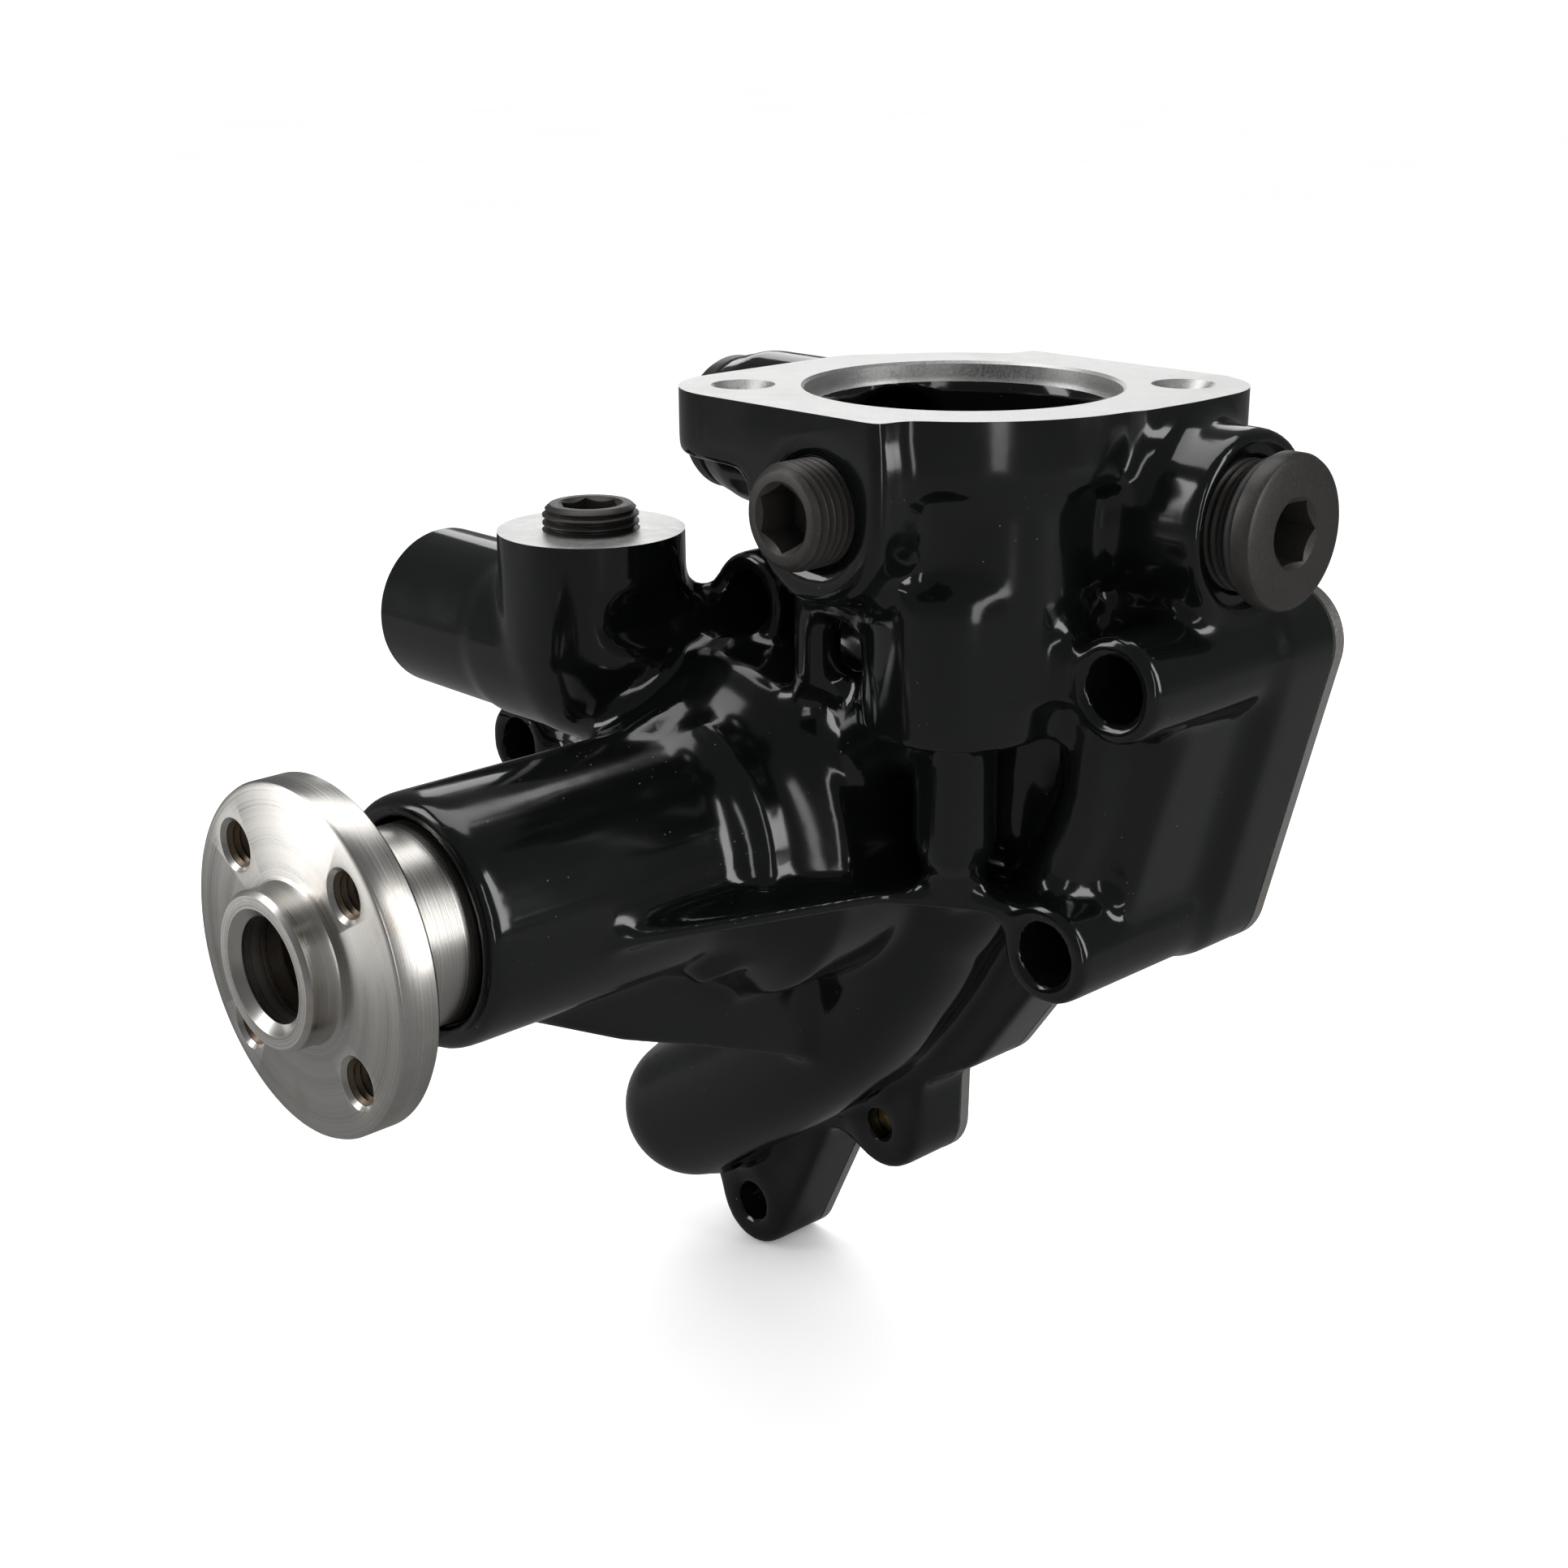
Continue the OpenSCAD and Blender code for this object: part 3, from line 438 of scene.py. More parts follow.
def tool_rings():
    """Fine lines that a lathe leaves about an axis along Y: Height and Shade."""

    def build(w, given):
        place = w.node("ShaderNodeTexCoord").outputs["Object"]
        parts = w.node("ShaderNodeSeparateXYZ", Vector=place).outputs
        across = w.math("SQRT", w.math("ADD", w.math("MULTIPLY", parts["X"], parts["X"]),
                                       w.math("MULTIPLY", parts["Z"], parts["Z"])))
        run = w.math("ADD", across, parts["Y"])
        fine = w.node("ShaderNodeTexNoise", {"noise_dimensions": "1D"}, W=run, Scale=given["Lines"], Detail=3.0,
                      Roughness=0.6).outputs["Fac"]
        broad = w.node("ShaderNodeTexNoise", {"noise_dimensions": "1D"}, W=run, Scale=260.0, Detail=1.0,
                       Roughness=0.5).outputs["Fac"]
        return [fine, w.math("ADD", w.math("MULTIPLY", fine, 0.6), w.math("MULTIPLY", broad, 0.4))]

    return effect("Tool Rings", [("Lines", 2600.0)], ["Height", "Shade"], build)


def grain():
    """Fine isotropic grain with broad patches: Fine and Patches."""

    def build(w, given):
        place = w.node("ShaderNodeTexCoord").outputs["Object"]
        fine = w.noise(place, given["Scale"], 3.0, 0.6)
        broad = w.noise(place, given["Patch Scale"], 3.0, 0.55)
        return [fine, broad]

    return effect("Grain", [("Scale", 1800.0), ("Patch Scale", 60.0)], ["Fine", "Patches"], build)


def edge_wear():
    """Light worn edges, broken up: Mask."""

    def build(w, given):
        place = w.node("ShaderNodeTexCoord").outputs["Object"]
        sharp = w.node("ShaderNodeNewGeometry").outputs["Pointiness"]
        edge = w.span(sharp, given["Start"], 0.64)
        broken = w.span(w.noise(place, 260.0, 3.0, 0.6), 0.40, 0.62)
        return [w.math("MULTIPLY", edge, broken)]

    return effect("Edge Wear", [("Start", 0.54)], ["Mask"], build)


def material(name, build):
    """A material whose Principled shader build(wiring, shader) sets up; made once."""
    if name in bpy.data.materials:
        return bpy.data.materials[name]
    made = bpy.data.materials.new(name)
    made.use_nodes = True
    shader = made.node_tree.nodes["Principled BSDF"]
    build(Wiring(made.node_tree), shader)
    return made


def shared(w, group, **values):
    """Places a shared effect in a material with its own values."""
    made = w.tree.nodes.new("ShaderNodeGroup")
    made.node_tree = group
    for name, value in values.items():
        made.inputs[name.replace("_", " ")].default_value = value
    return made.outputs


def gloss_enamel(colour):
    """Thick black gloss paint over a sand casting, with a little dust in it."""

    def build(w, shader):
        skin = shared(w, cast_skin(), Lumps=75.0, Peel=420.0)
        specks = shared(w, dust_specks(), Scale=620.0)["Mask"]
        patches = shared(w, grain(), Scale=1500.0, Patch_Scale=38.0)
        w.feed(shader, "Base Color", w.blend(w.math("MULTIPLY", specks, 0.5), (*colour, 1), (0.30, 0.29, 0.27, 1)))
        rough = w.span(patches["Patches"], 0.35, 0.70, 0.075, 0.17)
        w.feed(shader, "Roughness", w.math("ADD", rough, w.math("MULTIPLY", specks, 0.4)))
        w.feed(shader, "Normal", w.bump(skin["Height"], 0.12 * MM, 0.6))

    return material("gloss_enamel", build)


def bare_metal(name, colour, rough_low, rough_high, stain, lines=0.0, metallic=1.0, wear=0.7):
    """Bare metal with grain, faint stains, worn edges and, if asked, lathe lines."""

    def build(w, shader):
        patches = shared(w, grain(), Scale=2200.0, Patch_Scale=70.0)
        worn = shared(w, edge_wear(), Start=0.53)["Mask"]
        shade_value = patches["Fine"]
        height = patches["Fine"]
        if lines:
            rings = shared(w, tool_rings(), Lines=lines)
            shade_value = rings["Shade"]
            height = rings["Height"]
        dark = tuple(c * 0.80 for c in colour)
        base = w.blend(w.span(shade_value, 0.3, 0.7), (*dark, 1), (*colour, 1))
        stained = w.blend(w.span(patches["Patches"], 0.55, 0.74, 0.0, 0.55), base, (*stain, 1))
        bright = tuple(min(1.0, c * 1.25 + 0.04) for c in colour)
        w.feed(shader, "Base Color", w.blend(w.math("MULTIPLY", worn, wear), stained, (*bright, 1)))
        w.feed(shader, "Roughness", w.span(shade_value, 0.25, 0.75, rough_low, rough_high))
        w.feed(shader, "Normal", w.bump(height, 0.02 * MM, 0.6))
        shader.inputs["Metallic"].default_value = metallic

    return material(name, build)


def turned_steel(colour):
    """Lathe-turned steel."""
    return bare_metal("turned_steel", colour, 0.20, 0.40, (0.40, 0.33, 0.25), lines=2600.0)


def machined_iron(colour):
    """Milled face of the casting."""
    return bare_metal("machined_iron", colour, 0.32, 0.50, (0.52, 0.50, 0.47))


def black_oxide(colour):
    """Brownish black oxide on steel."""
    return bare_metal("black_oxide", colour, 0.34, 0.52, (0.045, 0.033, 0.025), metallic=0.75)


def soft_finish(name, colour, second, rough, scale=900.0, height=0.03 * MM, metallic=0.0):
    """Rubber, nylon, carbon, ceramic or gasket board: two shades mixed by grain, with a fine bump."""

    def build(w, shader):
        patches = shared(w, grain(), Scale=scale, Patch_Scale=90.0)
        mixed = w.math("ADD", w.math("MULTIPLY", patches["Fine"], 0.5), w.math("MULTIPLY", patches["Patches"], 0.5))
        w.feed(shader, "Base Color", w.blend(w.span(mixed, 0.35, 0.65), (*colour, 1), (*second, 1)))
        w.feed(shader, "Roughness", w.span(patches["Patches"], 0.3, 0.7, rough, min(1.0, rough + 0.15)))
        w.feed(shader, "Normal", w.bump(patches["Fine"], height, 0.7))
        shader.inputs["Metallic"].default_value = metallic

    return material(name, build)


# ---------- pieces ----------

class PUMP_OT_cast_housing(Operator):
    """Makes the sand-cast housing with rounded skin, then machines its faces and bores"""

    bl_idname = "pump.cast_housing"
    bl_label = "Cast Housing"

    def execute(self, context):
        sizes = context.scene.pump_casting
        colours = context.scene.pump_finishes
        piece = new_piece("cast_housing", self.raw_casting(sizes))
        self.round_skin(piece, sizes)
        self.machine(piece, sizes)
        piece.data.materials.clear()
        piece.data.materials.append(gloss_enamel(colours.enamel))
        piece.data.materials.append(machined_iron(colours.iron))
        self.bare_faces(piece, sizes)
        shade(piece)
        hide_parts("pump_housing")
        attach(piece, "housing")
        return {"FINISHED"}

    def raw_casting(self, sizes):
        """The measured housing with a few millimetres of stock on its machined faces."""
        stock = 4 * MM
        scroll = self.scroll()
        bm = gather(copied("pump_housing"), swept(scroll, 15.2 * MM, 16.0 * MM), *self.flowing_shapes())
        inlet = centre("inlet_plug")
        for vert in bm.verts:
            if vert.co.z > sizes.cover_face - TOUCH:
                vert.co.z += stock
            if vert.co.y > sizes.rear_face - TOUCH or abs(vert.co.y - sizes.joint_face) < TOUCH:
                vert.co.y += stock
            if self.on_hose_end(vert.co):
                vert.co.x -= stock
            level = abs(vert.co.z - INLET_FACE) < TOUCH
            if level and (vert.co.xy - inlet.xy).length < 18 * MM:
                vert.co.z += stock
        return bm

    def on_hose_end(self, spot):
        """Whether a point lies on the end of the hose inlet and not on the mounting boss below it."""
        return spot.x < HOSE_END + TOUCH and spot.y < -50 * MM and spot.z > 10 * MM

    def scroll(self):
        """Middle of the scroll, from the pump chamber out to the discharge."""
        return [Vector((x * MM, SCROLL_STATION, z * MM)) for x, z in
                ((27, -8), (20, -19.5), (12, -33), (-1, -50), (-17, -64), (-36, -78), (-50, -88))]

    def flowing_shapes(self):
        """Blends of the casting: the inlet's shoulder, the nose ridge and the ribs by the stem."""
        yield swept([Vector(p) * MM for p in ((-30, -68, 30), (-22, -58, 28), (-15, -42, 24))], 14.5 * MM, 13 * MM)
        yield swept([Vector(p) * MM for p in ((0, -92, 20), (-2, -72, 24), (-5, -56, 31))], 2.5 * MM, 4 * MM)
        yield swept([Vector(p) * MM for p in ((53, -42, 24), (54, -40, 12), (54, -40, 0))], 1.5 * MM, 1.3 * MM)
        yield swept([Vector(p) * MM for p in ((70, -40, 34), (68, -41, 14), (60, -42, -4))], 5 * MM, 5 * MM)

    def round_skin(self, piece, sizes):
        """Closes the inner corners with a fillet and rounds the outer edges."""
        voxel = sizes.voxel * 1.0

        def remesh():
            step = piece.modifiers.new("skin", "REMESH")
            step.mode = "VOXEL"
            step.voxel_size = voxel

        def swell(distance):
            step = piece.modifiers.new("swell", "DISPLACE")
            step.mid_level = 0.0
            step.strength = distance

        remesh()
        swell(sizes.fillet)
        remesh()
        swell(-sizes.fillet)
        soften = piece.modifiers.new("soften", "SMOOTH")
        soften.factor = 0.5
        soften.iterations = 12
        remesh()
        soften = piece.modifiers.new("soften", "SMOOTH")
        soften.factor = 0.5
        soften.iterations = sizes.edge_passes
        settle(piece)
        faces = len(piece.data.polygons) * 2
        thin = piece.modifiers.new("thin", "DECIMATE")
        thin.ratio = min(1.0, 170000 / faces)
        settle(piece)

    def machine(self, piece, sizes):
        """Cuts the flat faces and every bore."""
        axis_x, axis_y = sizes.thermostat
        top = sizes.cover_face
        at_seat = Matrix.Translation((axis_x, axis_y, 0))
        far = 0.3
        flats = gather(block((-far, -far, top), (far, far, top + 20 * MM)))
        rear = block((-far, sizes.rear_face, -far), (far, sizes.rear_face + 20 * MM, far))
        joint = block((-far, sizes.joint_face, -far), (far, sizes.joint_face + 20 * MM, 65 * MM))
        hose_end = block((HOSE_END - 20 * MM, -95 * MM, 0), (HOSE_END, -50 * MM, 52 * MM))
        inlet = centre("inlet_plug")
        at_inlet = Matrix.Translation((inlet.x, inlet.y, 0))
        spot = rod(20 * MM, INLET_FACE, INLET_FACE + 8 * MM, at_inlet)
        seat = turned([(0, CHAMBER_FLOOR), (sizes.chamber_radius, CHAMBER_FLOOR),
                       (sizes.chamber_radius, top - sizes.seat_depth),
                       (sizes.seat_radius, top - sizes.seat_depth), (sizes.seat_radius, top - 0.5 * MM),
                       (sizes.seat_radius + 0.5 * MM, top), (sizes.seat_radius + 0.5 * MM, top + 8 * MM),
                       (0, top + 8 * MM)], at_seat, 128)
        bolt_step = sizes.cover_bolt_reach / math.sqrt(2)
        bolts = [turned([(0, top - 18 * MM), (3.3 * MM, top - 17 * MM)]
                        + list(reversed(thread(3.9 * MM, top - 2.6 * MM, top - 16.5 * MM, 1.25 * MM, 0.55 * MM)))
                        + [(3.3 * MM, top - 2.3 * MM), (5.6 * MM, top), (5.6 * MM, top + 3 * MM), (0, top + 3 * MM)],
                        Matrix.Translation((axis_x + side * bolt_step, axis_y + side * bolt_step, 0)), 48)
                 for side in (-1, 1)]
        lugs = [rod(radius * MM, -depth * MM, 20 * MM, Matrix.Translation((x * MM, 0, z * MM)) @ SHAFT)
                for x, z, radius, depth in self.lug_bores()]
        shaft_line = turned([(0, -140 * MM), (18.6 * MM, -140 * MM), (18.6 * MM, -133 * MM), (18.3 * MM, -132.5 * MM),
                             (18.3 * MM, -125 * MM), (18.02 * MM, -125 * MM), (18.02 * MM, -80 * MM),
                             (16 * MM, -80 * MM), (16 * MM, -73 * MM), (15.02 * MM, -73 * MM),
                             (15.02 * MM, -61 * MM), (0, -61 * MM)], SHAFT)
        cut(piece, flats, rear, joint, hose_end, spot, seat, gather(*bolts), gather(*lugs), shaft_line,
            gather(*self.plug_bores()))
        drain = rod(2.5 * MM, 0, 32 * MM, Matrix.Translation((0, -76.5 * MM, 0))
                    @ Matrix.Rotation(math.radians(150), 4, "Y"), 32)
        channel = swept(self.scroll()[1:], 11.3 * MM, 12.1 * MM)
        outlet = self.scroll()[-1]
        port = rod(12 * MM, outlet.y, 5 * MM, Matrix.Translation((outlet.x, 0, outlet.z)) @ SHAFT)
        cut(piece, drain, channel, port, *self.chambers())

    def chambers(self):
        """Hollow of the pump: eye and impeller space, the ring channel and the way in from the hose."""
        hollow = [(0, -62), (28.6, -62), (28.6, -44), (19.1, -44), (19.1, -36.2), (36.1, -36.2), (36.1, 5), (0, 5)]
        yield turned([(radius * MM, height * MM) for radius, height in hollow], SHAFT, 128)
        ring, channel = 28 * MM, 11.6 * MM
        angles = [step * math.tau / 48 for step in range(48)]
        yield turned([(ring + channel * math.cos(angle), SCROLL_STATION + channel * math.sin(angle))
                      for angle in angles], SHAFT, 96)
        way_in = [Vector(p) * MM for p in ((-82, -70.2, 30), (-55, -70.2, 30), (-30, -69.8, 29.6), (-12, -52, 12))]
        yield swept(way_in, 12.6 * MM, 10.6 * MM)

    def lug_bores(self):
        """Bores from the engine side as (x, z, radius, depth) in millimetres."""
        bosses = [(-6.9, 39.8), (80, 40.4), (67.4, -9.5), (-80.7, -5.2)]
        screws = [(30, 30), (-38, 20), (-33, -33), (42, -14)]
        return ([(x, z, 5.7, 60) for x, z in bosses] + [(x, z, 3.25, 14.1) for x, z in screws]
                + [(-44.4, -115, 4.5, 30), (-3.9, -80, 3.4, 30)])

    def plug_bores(self):
        """Bores that the four screw plugs sit in."""
        front, inlet = centre("front_plug"), centre("inlet_plug")
        right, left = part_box("right_side_plug"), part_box("left_side_plug")
        right_middle, left_middle = centre("right_side_plug"), centre("left_side_plug")
        small, large = 9.1 * MM, 11.1 * MM
        return [
            rod(small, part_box("front_plug")[0][1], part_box("front_plug")[1][1] + 2 * MM,
                Matrix.Translation((front.x, 0, front.z)) @ SHAFT),
            rod(small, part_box("inlet_plug")[0][2] - 2 * MM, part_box("inlet_plug")[1][2],
                Matrix.Translation((inlet.x, inlet.y, 0))),
            turned([(0, right[0][0] - 2 * MM), (large, right[0][0] - 2 * MM), (large, 85 * MM), (13.4 * MM, 85 * MM),
                    (14.2 * MM, 88 * MM), (0, 88 * MM)],
                   Matrix.Translation((0, right_middle.y, right_middle.z)) @ ALONG_X, 64),
            rod(large, left[0][0], left[1][0] + 2 * MM,
                Matrix.Translation((0, left_middle.y, left_middle.z)) @ ALONG_X),
        ]

    def bare_faces(self, piece, sizes):
        """Gives the machined faces their bare metal."""
        axis = Vector(sizes.thermostat)
        seat_bottom = sizes.cover_face - sizes.seat_depth - TOUCH
        inlet = centre("inlet_plug")
        for face in piece.data.polygons:
            spot = face.center
            off_axis = (spot.xy - axis).length
            level = face.normal.z > 0.98
            cover = spot.z > sizes.cover_face - TOUCH and level
            seat = spot.z > seat_bottom and off_axis < sizes.seat_radius + 0.6 * MM
            mouth = spot.z > sizes.cover_face - 2.5 * MM and off_axis > 31.9 * MM and face.normal.z > 0.3
            diagonal = abs((spot.x - axis.x) - (spot.y - axis.y)) < 8.5 * MM
            bolt = mouth and diagonal and abs(off_axis - sizes.cover_bolt_reach) < 5.7 * MM
            boss = level and abs(spot.z - INLET_FACE) < TOUCH and (spot.xy - inlet.xy).length < 20 * MM
            joint = abs(spot.y - sizes.joint_face) < TOUCH and face.normal.y > 0.98
            face.material_index = int(cover or seat or bolt or boss or joint or self.on_hose_end(spot))


class PUMP_OT_drive_hub(Operator):
    """Turns the pulley hub and taps its four bolt holes"""

    bl_idname = "pump.drive_hub"
    bl_label = "Drive Hub"

    def execute(self, context):
        hub = context.scene.pump_hub
        low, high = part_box("hub_flange")
        front, end = low[1], high[1]
        face = front + hub.pilot_height
        back = face + hub.flange_depth
        chamfer = 0.9 * MM
        profile = [
            (hub.bore_radius, front + 1.6 * MM), (hub.bore_radius + 1.4 * MM, front + 0.15 * MM),
            (hub.bore_radius + 1.6 * MM, front), (hub.pilot_radius - 0.8 * MM, front),
            (hub.pilot_radius, front + 0.8 * MM), (hub.pilot_radius, face - 1.0 * MM),
            (hub.pilot_radius + 0.3 * MM, face - 0.3 * MM), (hub.pilot_radius + 1.0 * MM, face),
            (hub.flange_radius - chamfer, face), (hub.flange_radius - 0.25 * MM, face + 0.35 * MM),
            (hub.flange_radius, face + chamfer), (hub.flange_radius, back - 0.6 * MM),
            (hub.flange_radius - 0.6 * MM, back), (hub.barrel_radius + 0.8 * MM, back),
            (hub.barrel_radius, back + 0.8 * MM), (hub.barrel_radius, end - 0.6 * MM),
            (hub.barrel_radius - 0.6 * MM, end), (hub.bore_radius, end),
            (hub.bore_radius, front + 9 * MM)]
        piece = new_piece("drive_hub", turned(profile, SHAFT, 160))
        cut(piece, gather(*self.tapped_holes(hub, face, back)))
        piece.data.materials.clear()
        piece.data.materials.append(turned_steel(context.scene.pump_finishes.steel))
        # Second slot, for the tapped holes and the shaft bore: dark brown metal, a brown oily tone with painted shade
        # of the deep hollows in it
        piece.data.materials.append(bare_metal("oily_and_shaded_hole", (0.17, 0.13, 0.095), 0.34, 0.5, (0.10, 0.07, 0.05)))
        for polygon in piece.data.polygons:
            spot = polygon.center.xz
            reach = spot.length
            off_hole = min(abs(reach - hub.bolt_circle), reach) if reach < 15 * MM else (
                Vector((abs(spot.x), abs(spot.y))) - Vector((1, 1)).normalized() * hub.bolt_circle).length
            threaded = reach > 15 * MM and off_hole < 4.3 * MM and polygon.center.y > face + 0.4 * MM
            bored = reach < hub.bore_radius + 0.2 * MM and polygon.center.y > front + 9 * MM
            polygon.material_index = int(threaded or bored)
        shade(piece)
        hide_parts("hub_flange")
        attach(piece, "rotor")
        return {"FINISHED"}

    def tapped_holes(self, hub, face, back):
        """Cutters with thread rings and a countersunk mouth."""
        rings = [(3.35 * MM, height) if step % 2 else (3.95 * MM, height)
                 for step, height in enumerate(self.heights(face + 0.9 * MM, back + 0.5 * MM, 0.62 * MM))]
        shape = ([(0, face - 2 * MM), (4.7 * MM, face - 2 * MM), (4.7 * MM, face), (3.95 * MM, face + 0.75 * MM)]
                 + rings + [(3.3 * MM, back + 2 * MM), (0, back + 2 * MM)])
        for i in range(hub.bolt_count):
            turn = Matrix.Rotation(math.radians(45) + i * math.tau / hub.bolt_count, 4, "Y")
            yield turned(shape, turn @ Matrix.Translation((hub.bolt_circle, 0, 0)) @ SHAFT, 40)

    def heights(self, low, high, step):
        """Even stations between two heights."""
        while low < high:
            yield low
            low += step


class PUMP_OT_screw_plugs(Operator):
    """Makes the two hex-socket plugs and the two flanged plugs"""

    bl_idname = "pump.screw_plugs"
    bl_label = "Screw Plugs"

    def execute(self, context):
        plug = context.scene.pump_plugs
        oxide = black_oxide(context.scene.pump_finishes.oxide)
        front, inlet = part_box("front_plug"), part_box("inlet_plug")
        right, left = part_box("right_side_plug"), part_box("left_side_plug")
        places = {
            "front_plug": Matrix.Translation((centre("front_plug").x, front[0][1], centre("front_plug").z))
            @ Matrix.Rotation(math.radians(90), 4, "X"),
            "inlet_plug": Matrix.Translation((centre("inlet_plug").x, centre("inlet_plug").y, inlet[1][2])),
            "right_side_plug": Matrix.Translation((right[1][0], centre("right_side_plug").y,
                                                   centre("right_side_plug").z)) @ ALONG_X,
            "left_side_plug": Matrix.Translation((left[0][0], centre("left_side_plug").y,
                                                  centre("left_side_plug").z)) @ ALONG_X.inverted(),
        }
        for node, place in places.items():
            flanged = "side" in node
            outline = self.flanged(plug) if flanged else self.headless(plug)
            piece = new_piece(f"{node}_turned", turned(outline, place, 96))
            mouth = plug.socket / math.sqrt(3)
            sink = turned([(0, -1.5 * MM), (mouth - 0.9 * MM, -0.9 * MM), (mouth + 0.35 * MM, 0.02 * MM),
                           (mouth + 0.35 * MM, MM), (0, MM)], place, 64)
            floor = turned([(0, -9.4 * MM), (plug.socket / 2 - 0.2 * MM, -7.6 * MM), (0, -7.5 * MM)], place, 48)
            cut(piece, hexagon(plug.socket, -8 * MM, 2 * MM, place), sink, floor)
            piece.data.materials.clear()
            piece.data.materials.append(oxide)
            shade(piece)
            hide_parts(node)
            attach(piece, "housing")
        ring = soft_finish("seal_rubber", (0.012, 0.012, 0.013), (0.02, 0.02, 0.021), 0.45)
        finish_node("plug_seal_ring", ring)
        return {"FINISHED"}

    def headless(self, plug):
        """Outline of a plug that is thread from end to end."""
        crest = plug.radius
        root = crest - 0.95 * MM
        return ([(0, 0), (crest - 1.5 * MM, 0), (crest - 1.3 * MM, -0.06 * MM), (crest - 0.5 * MM, -0.8 * MM),
                 (root, -1.25 * MM)]
                + thread(crest, -1.3 * MM, -plug.length + MM, plug.pitch, crest - root)
                + [(crest - 1.4 * MM, -plug.length), (0, -plug.length)])

    def flanged(self, plug):
        """Outline of a plug with a thin round head."""
        head, crest = plug.head_radius, plug.flanged_radius
        root = crest - 0.95 * MM
        depth = plug.head_depth
        return ([(0, 0), (head - 1.1 * MM, 0), (head - 0.35 * MM, -0.3 * MM), (head, -1.0 * MM),
                 (head, -depth + 0.5 * MM), (head - 0.5 * MM, -depth), (root, -depth), (root, -depth - 2.4 * MM)]
                + thread(crest, -depth - 2.5 * MM, -depth - 11 * MM, plug.pitch, crest - root)
                + [(root - 0.4 * MM, -depth - 12 * MM), (0, -depth - 12 * MM)])


def finish_node(node, finish):
    """Gives a CAD node its finish."""
    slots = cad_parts[node].data.materials
    slots.clear()
    slots.append(finish)


class PUMP_OT_back_plate(Operator):
    """Bevels the back plate and finishes its gasket and screws"""

    bl_idname = "pump.back_plate"
    bl_label = "Back Plate"

    def execute(self, context):
        colours = context.scene.pump_finishes
        sheet = bare_metal("pressed_steel", (0.60, 0.59, 0.57), 0.28, 0.44, (0.42, 0.38, 0.33), wear=0.0)
        bm = copied("back_plate")
        bmesh.ops.dissolve_limit(bm, angle_limit=math.radians(1), verts=bm.verts, edges=bm.edges)
        piece = new_piece("pressed_back_plate", bm, sheet)
        rounding = piece.modifiers.new("edges", "BEVEL")
        rounding.width = 0.35 * MM
        rounding.segments = 1
        rounding.limit_method = "ANGLE"
        rounding.angle_limit = math.radians(50)
        rounding.harden_normals = False
        settle(piece)
        piece.data.materials.clear()
        piece.data.materials.append(sheet)
        shade(piece, math.radians(20))
        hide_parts("back_plate")
        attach(piece, "housing")
        finish_node("back_plate_gasket", soft_finish("gasket_board", (0.045, 0.062, 0.056), (0.075, 0.09, 0.08), 0.75,
                                                     scale=1400.0))
        finish_node("back_plate_screws", bare_metal("yellow_zinc", colours.zinc, 0.25, 0.40, (0.45, 0.40, 0.30)))
        return {"FINISHED"}


class PUMP_OT_running_gear(Operator):
    """Finishes the shaft, bearing, seal and impeller"""

    bl_idname = "pump.running_gear"
    bl_label = "Running Gear"

    def execute(self, context):
        colours = context.scene.pump_finishes
        ground = bare_metal("ground_steel", (0.66, 0.66, 0.65), 0.12, 0.24, (0.56, 0.54, 0.50), lines=5200.0)
        rubber = soft_finish("seal_rubber", (0.012, 0.012, 0.013), (0.02, 0.02, 0.021), 0.45)
        nylon = soft_finish("cage_nylon", (0.56, 0.50, 0.36), (0.62, 0.56, 0.42), 0.42)
        finishes = {
            "pump_shaft": turned_steel(colours.steel),
            "bearing_outer_race": ground,
            "bearing_balls": ground,
            "bearing_rollers": ground,
            "ball_cage": nylon,
            "roller_cage": nylon,
            "front_bearing_seal": rubber,
            "rear_bearing_seal": rubber,
            "slinger": ground,
            "seal_cup": bare_metal("drawn_brass", (0.62, 0.46, 0.20), 0.22, 0.36, (0.42, 0.30, 0.14)),
            "seal_bellows": rubber,
            "seal_spring": bare_metal("spring_wire", (0.52, 0.52, 0.53), 0.2, 0.34, (0.40, 0.38, 0.36)),
            "carbon_ring": soft_finish("seal_carbon", (0.018, 0.018, 0.019), (0.03, 0.03, 0.031), 0.38, scale=2400.0),
            "mating_ring": soft_finish("seal_ceramic", (0.72, 0.69, 0.60), (0.78, 0.75, 0.67), 0.25),
            "mating_ring_boot": rubber,
            "impeller": bare_metal("impeller_iron", (0.30, 0.29, 0.27), 0.42, 0.62, (0.20, 0.15, 0.11)),
        }
        for node, finish in finishes.items():
            finish_node(node, finish)
        return {"FINISHED"}


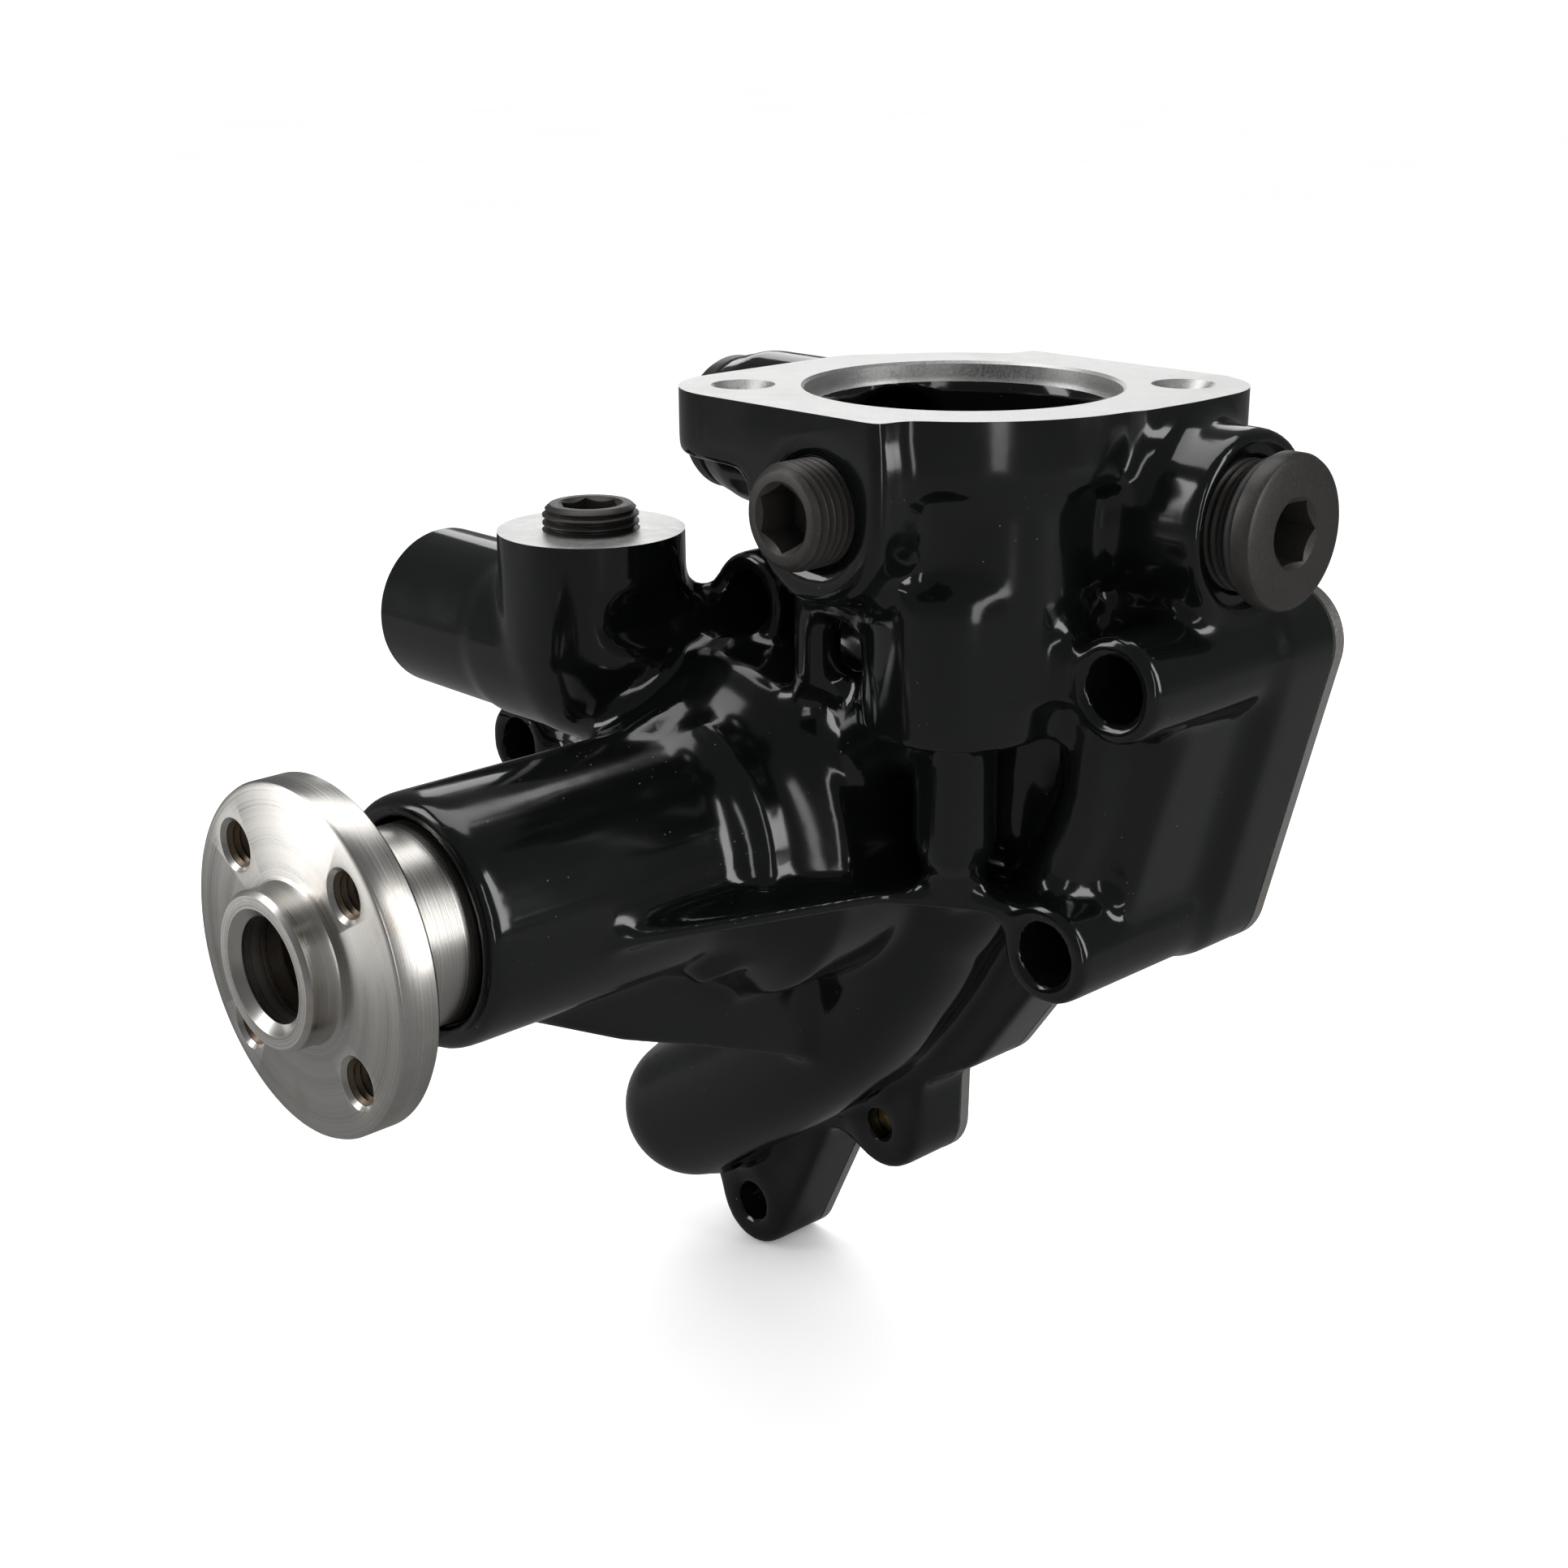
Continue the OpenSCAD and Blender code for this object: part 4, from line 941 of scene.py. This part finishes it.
class PUMP_OT_stage(Operator):
    """Sets out the floor, the studio lights and the camera"""

    bl_idname = "pump.stage"
    bl_label = "Stage"

    def execute(self, context):
        scene = context.scene
        stage = scene.pump_stage
        self.floor()
        self.world(scene)
        self.lights(stage.light)
        self.camera(scene, stage)
        scene.view_settings.view_transform = "Standard"
        return {"FINISHED"}

    def floor(self):
        """A wide pale sheet under the pump, dark grey in reflections: painted shade in what the pump reflects."""

        def build(w, shader):
            place = w.node("ShaderNodeTexCoord").outputs["Object"]
            shade_of = w.span(w.noise(place, 3.0), 0.3, 0.7)
            path = w.node("ShaderNodeLightPath")
            pale = w.blend(shade_of, (0.90, 0.90, 0.90, 1), (0.92, 0.92, 0.92, 1))
            # Glossy rays see the floor dark grey instead of pale: painted shade in the floor's reflections on the
            # enamel and metal
            w.feed(shader, "Base Color", w.blend(path.outputs["Is Glossy Ray"], pale, (0.15, 0.15, 0.15, 1)))
            shader.inputs["Roughness"].default_value = 0.9
            shader.inputs["Specular IOR Level"].default_value = 0.0

        bm = bmesh.new()
        bmesh.ops.create_grid(bm, x_segments=8, y_segments=8, size=6)
        bm.transform(Matrix.Translation((0, 0, CAD_BOX[0][2] - 0.2 * MM)))
        new_piece("studio_floor", bm, material("pale_floor", build))

    def world(self, scene):
        """White surroundings for the eye and for soft fill, dim in reflections."""
        world = bpy.data.worlds.new("studio")
        world.use_nodes = True
        w = Wiring(world.node_tree)
        air = world.node_tree.nodes["Background"]
        path = w.node("ShaderNodeLightPath")
        w.feed(air, "Color", w.blend(path.outputs["Is Glossy Ray"], (1, 1, 1, 1), (0.122, 0.125, 0.127, 1)))
        air.inputs["Strength"].default_value = 1.1
        scene.world = world

    def lights(self, strength):
        """Soft boxes: overhead, left front, right rear and a low front fill."""
        aim = Vector((0.01, -0.06, 0.0))
        boxes = [
            ("overhead", (-0.25, 0.05, 0.80), (0.70, 0.45), 2.6),
            ("left_front", (-0.60, -0.75, 0.40), (0.30, 0.90), 4.6),
            ("right_rear", (0.80, 0.20, 0.35), (0.22, 0.80), 3.4),
            ("right_front", (0.85, -0.50, 0.25), (0.14, 0.80), 1.3),
            ("rear_card", (-0.62, 0.58, 0.36), (0.60, 0.34), 1.1),
            ("floor_card", (-0.27, -0.42, CAD_BOX[0][2] + 2 * MM), (0.34, 0.34), 0.40),
        ]
        for name, place, (width, height), power in boxes:
            lamp = bpy.data.lights.new(name, "AREA")
            lamp.shape = "RECTANGLE"
            lamp.size = width
            lamp.size_y = height
            lamp.energy = power * strength
            holder = bpy.data.objects.new(name, lamp)
            holder.location = place
            holder.rotation_euler = (aim - Vector(place)).to_track_quat("-Z", "Y").to_euler()
            holder.visible_camera = False
            bpy.context.scene.collection.objects.link(holder)
            if name == "floor_card":
                self.only_lights(holder, "drive_hub")

    def only_lights(self, holder, *names):
        """Keeps a lamp's light on the named pieces."""
        lit = bpy.data.collections.new(f"{holder.name}_lights")
        for name in names:
            lit.objects.link(bpy.data.objects[name])
        holder.light_linking.receiver_collection = lit

    def camera(self, scene, stage):
        """A camera to the front right, a little above the pump."""
        view = bpy.data.cameras.new("camera")
        view.lens = stage.focal_length
        view.sensor_width = 36
        view.clip_start = 0.01
        holder = bpy.data.objects.new("camera", view)
        right = Vector((0.6881, 0.7256, -0.0054))
        back = Vector((0.6882, -0.6503, 0.3218))
        up = back.cross(right)
        turn = Matrix((right, up, back)).transposed().to_4x4()
        holder.matrix_world = Matrix.Translation(stage.camera_place) @ turn
        scene.collection.objects.link(holder)
        scene.camera = holder


# ---------- sidebar and registration ----------

class PUMP_PT_sidebar(Panel):
    """Lists the pump's pieces, sizes and finishes"""

    bl_idname = "PUMP_PT_sidebar"
    bl_label = "Water Pump"
    bl_space_type = "VIEW_3D"
    bl_region_type = "UI"
    bl_category = "Water Pump"

    def draw(self, context):
        for title, settings in (("Casting", "pump_casting"), ("Hub", "pump_hub"), ("Plugs", "pump_plugs"),
                                ("Finishes", "pump_finishes"), ("Stage", "pump_stage")):
            box = self.layout.box()
            box.label(text=title)
            group = getattr(context.scene, settings)
            for name in group.__annotations__:
                box.prop(group, name)
        for maker in MAKERS:
            self.layout.operator(maker.bl_idname)


GROUPS = {
    "pump_casting": CastingSizes,
    "pump_hub": HubSizes,
    "pump_plugs": PlugSizes,
    "pump_finishes": Finishes,
    "pump_stage": StageSizes,
}
MAKERS = (PUMP_OT_cast_housing, PUMP_OT_drive_hub, PUMP_OT_screw_plugs, PUMP_OT_back_plate, PUMP_OT_running_gear,
          PUMP_OT_stage)


def register():
    for name, group in GROUPS.items():
        bpy.utils.register_class(group)
        setattr(bpy.types.Scene, name, PointerProperty(type=group))
    for made in (*MAKERS, PUMP_PT_sidebar):
        bpy.utils.register_class(made)


def unregister():
    for made in reversed((*MAKERS, PUMP_PT_sidebar)):
        bpy.utils.unregister_class(made)
    for name, group in reversed(GROUPS.items()):
        delattr(bpy.types.Scene, name)
        bpy.utils.unregister_class(group)


def main():
    register()
    for maker in MAKERS:
        family, name = maker.bl_idname.split(".")
        getattr(getattr(bpy.ops, family), name)()


if __name__ == "__main__":
    main()
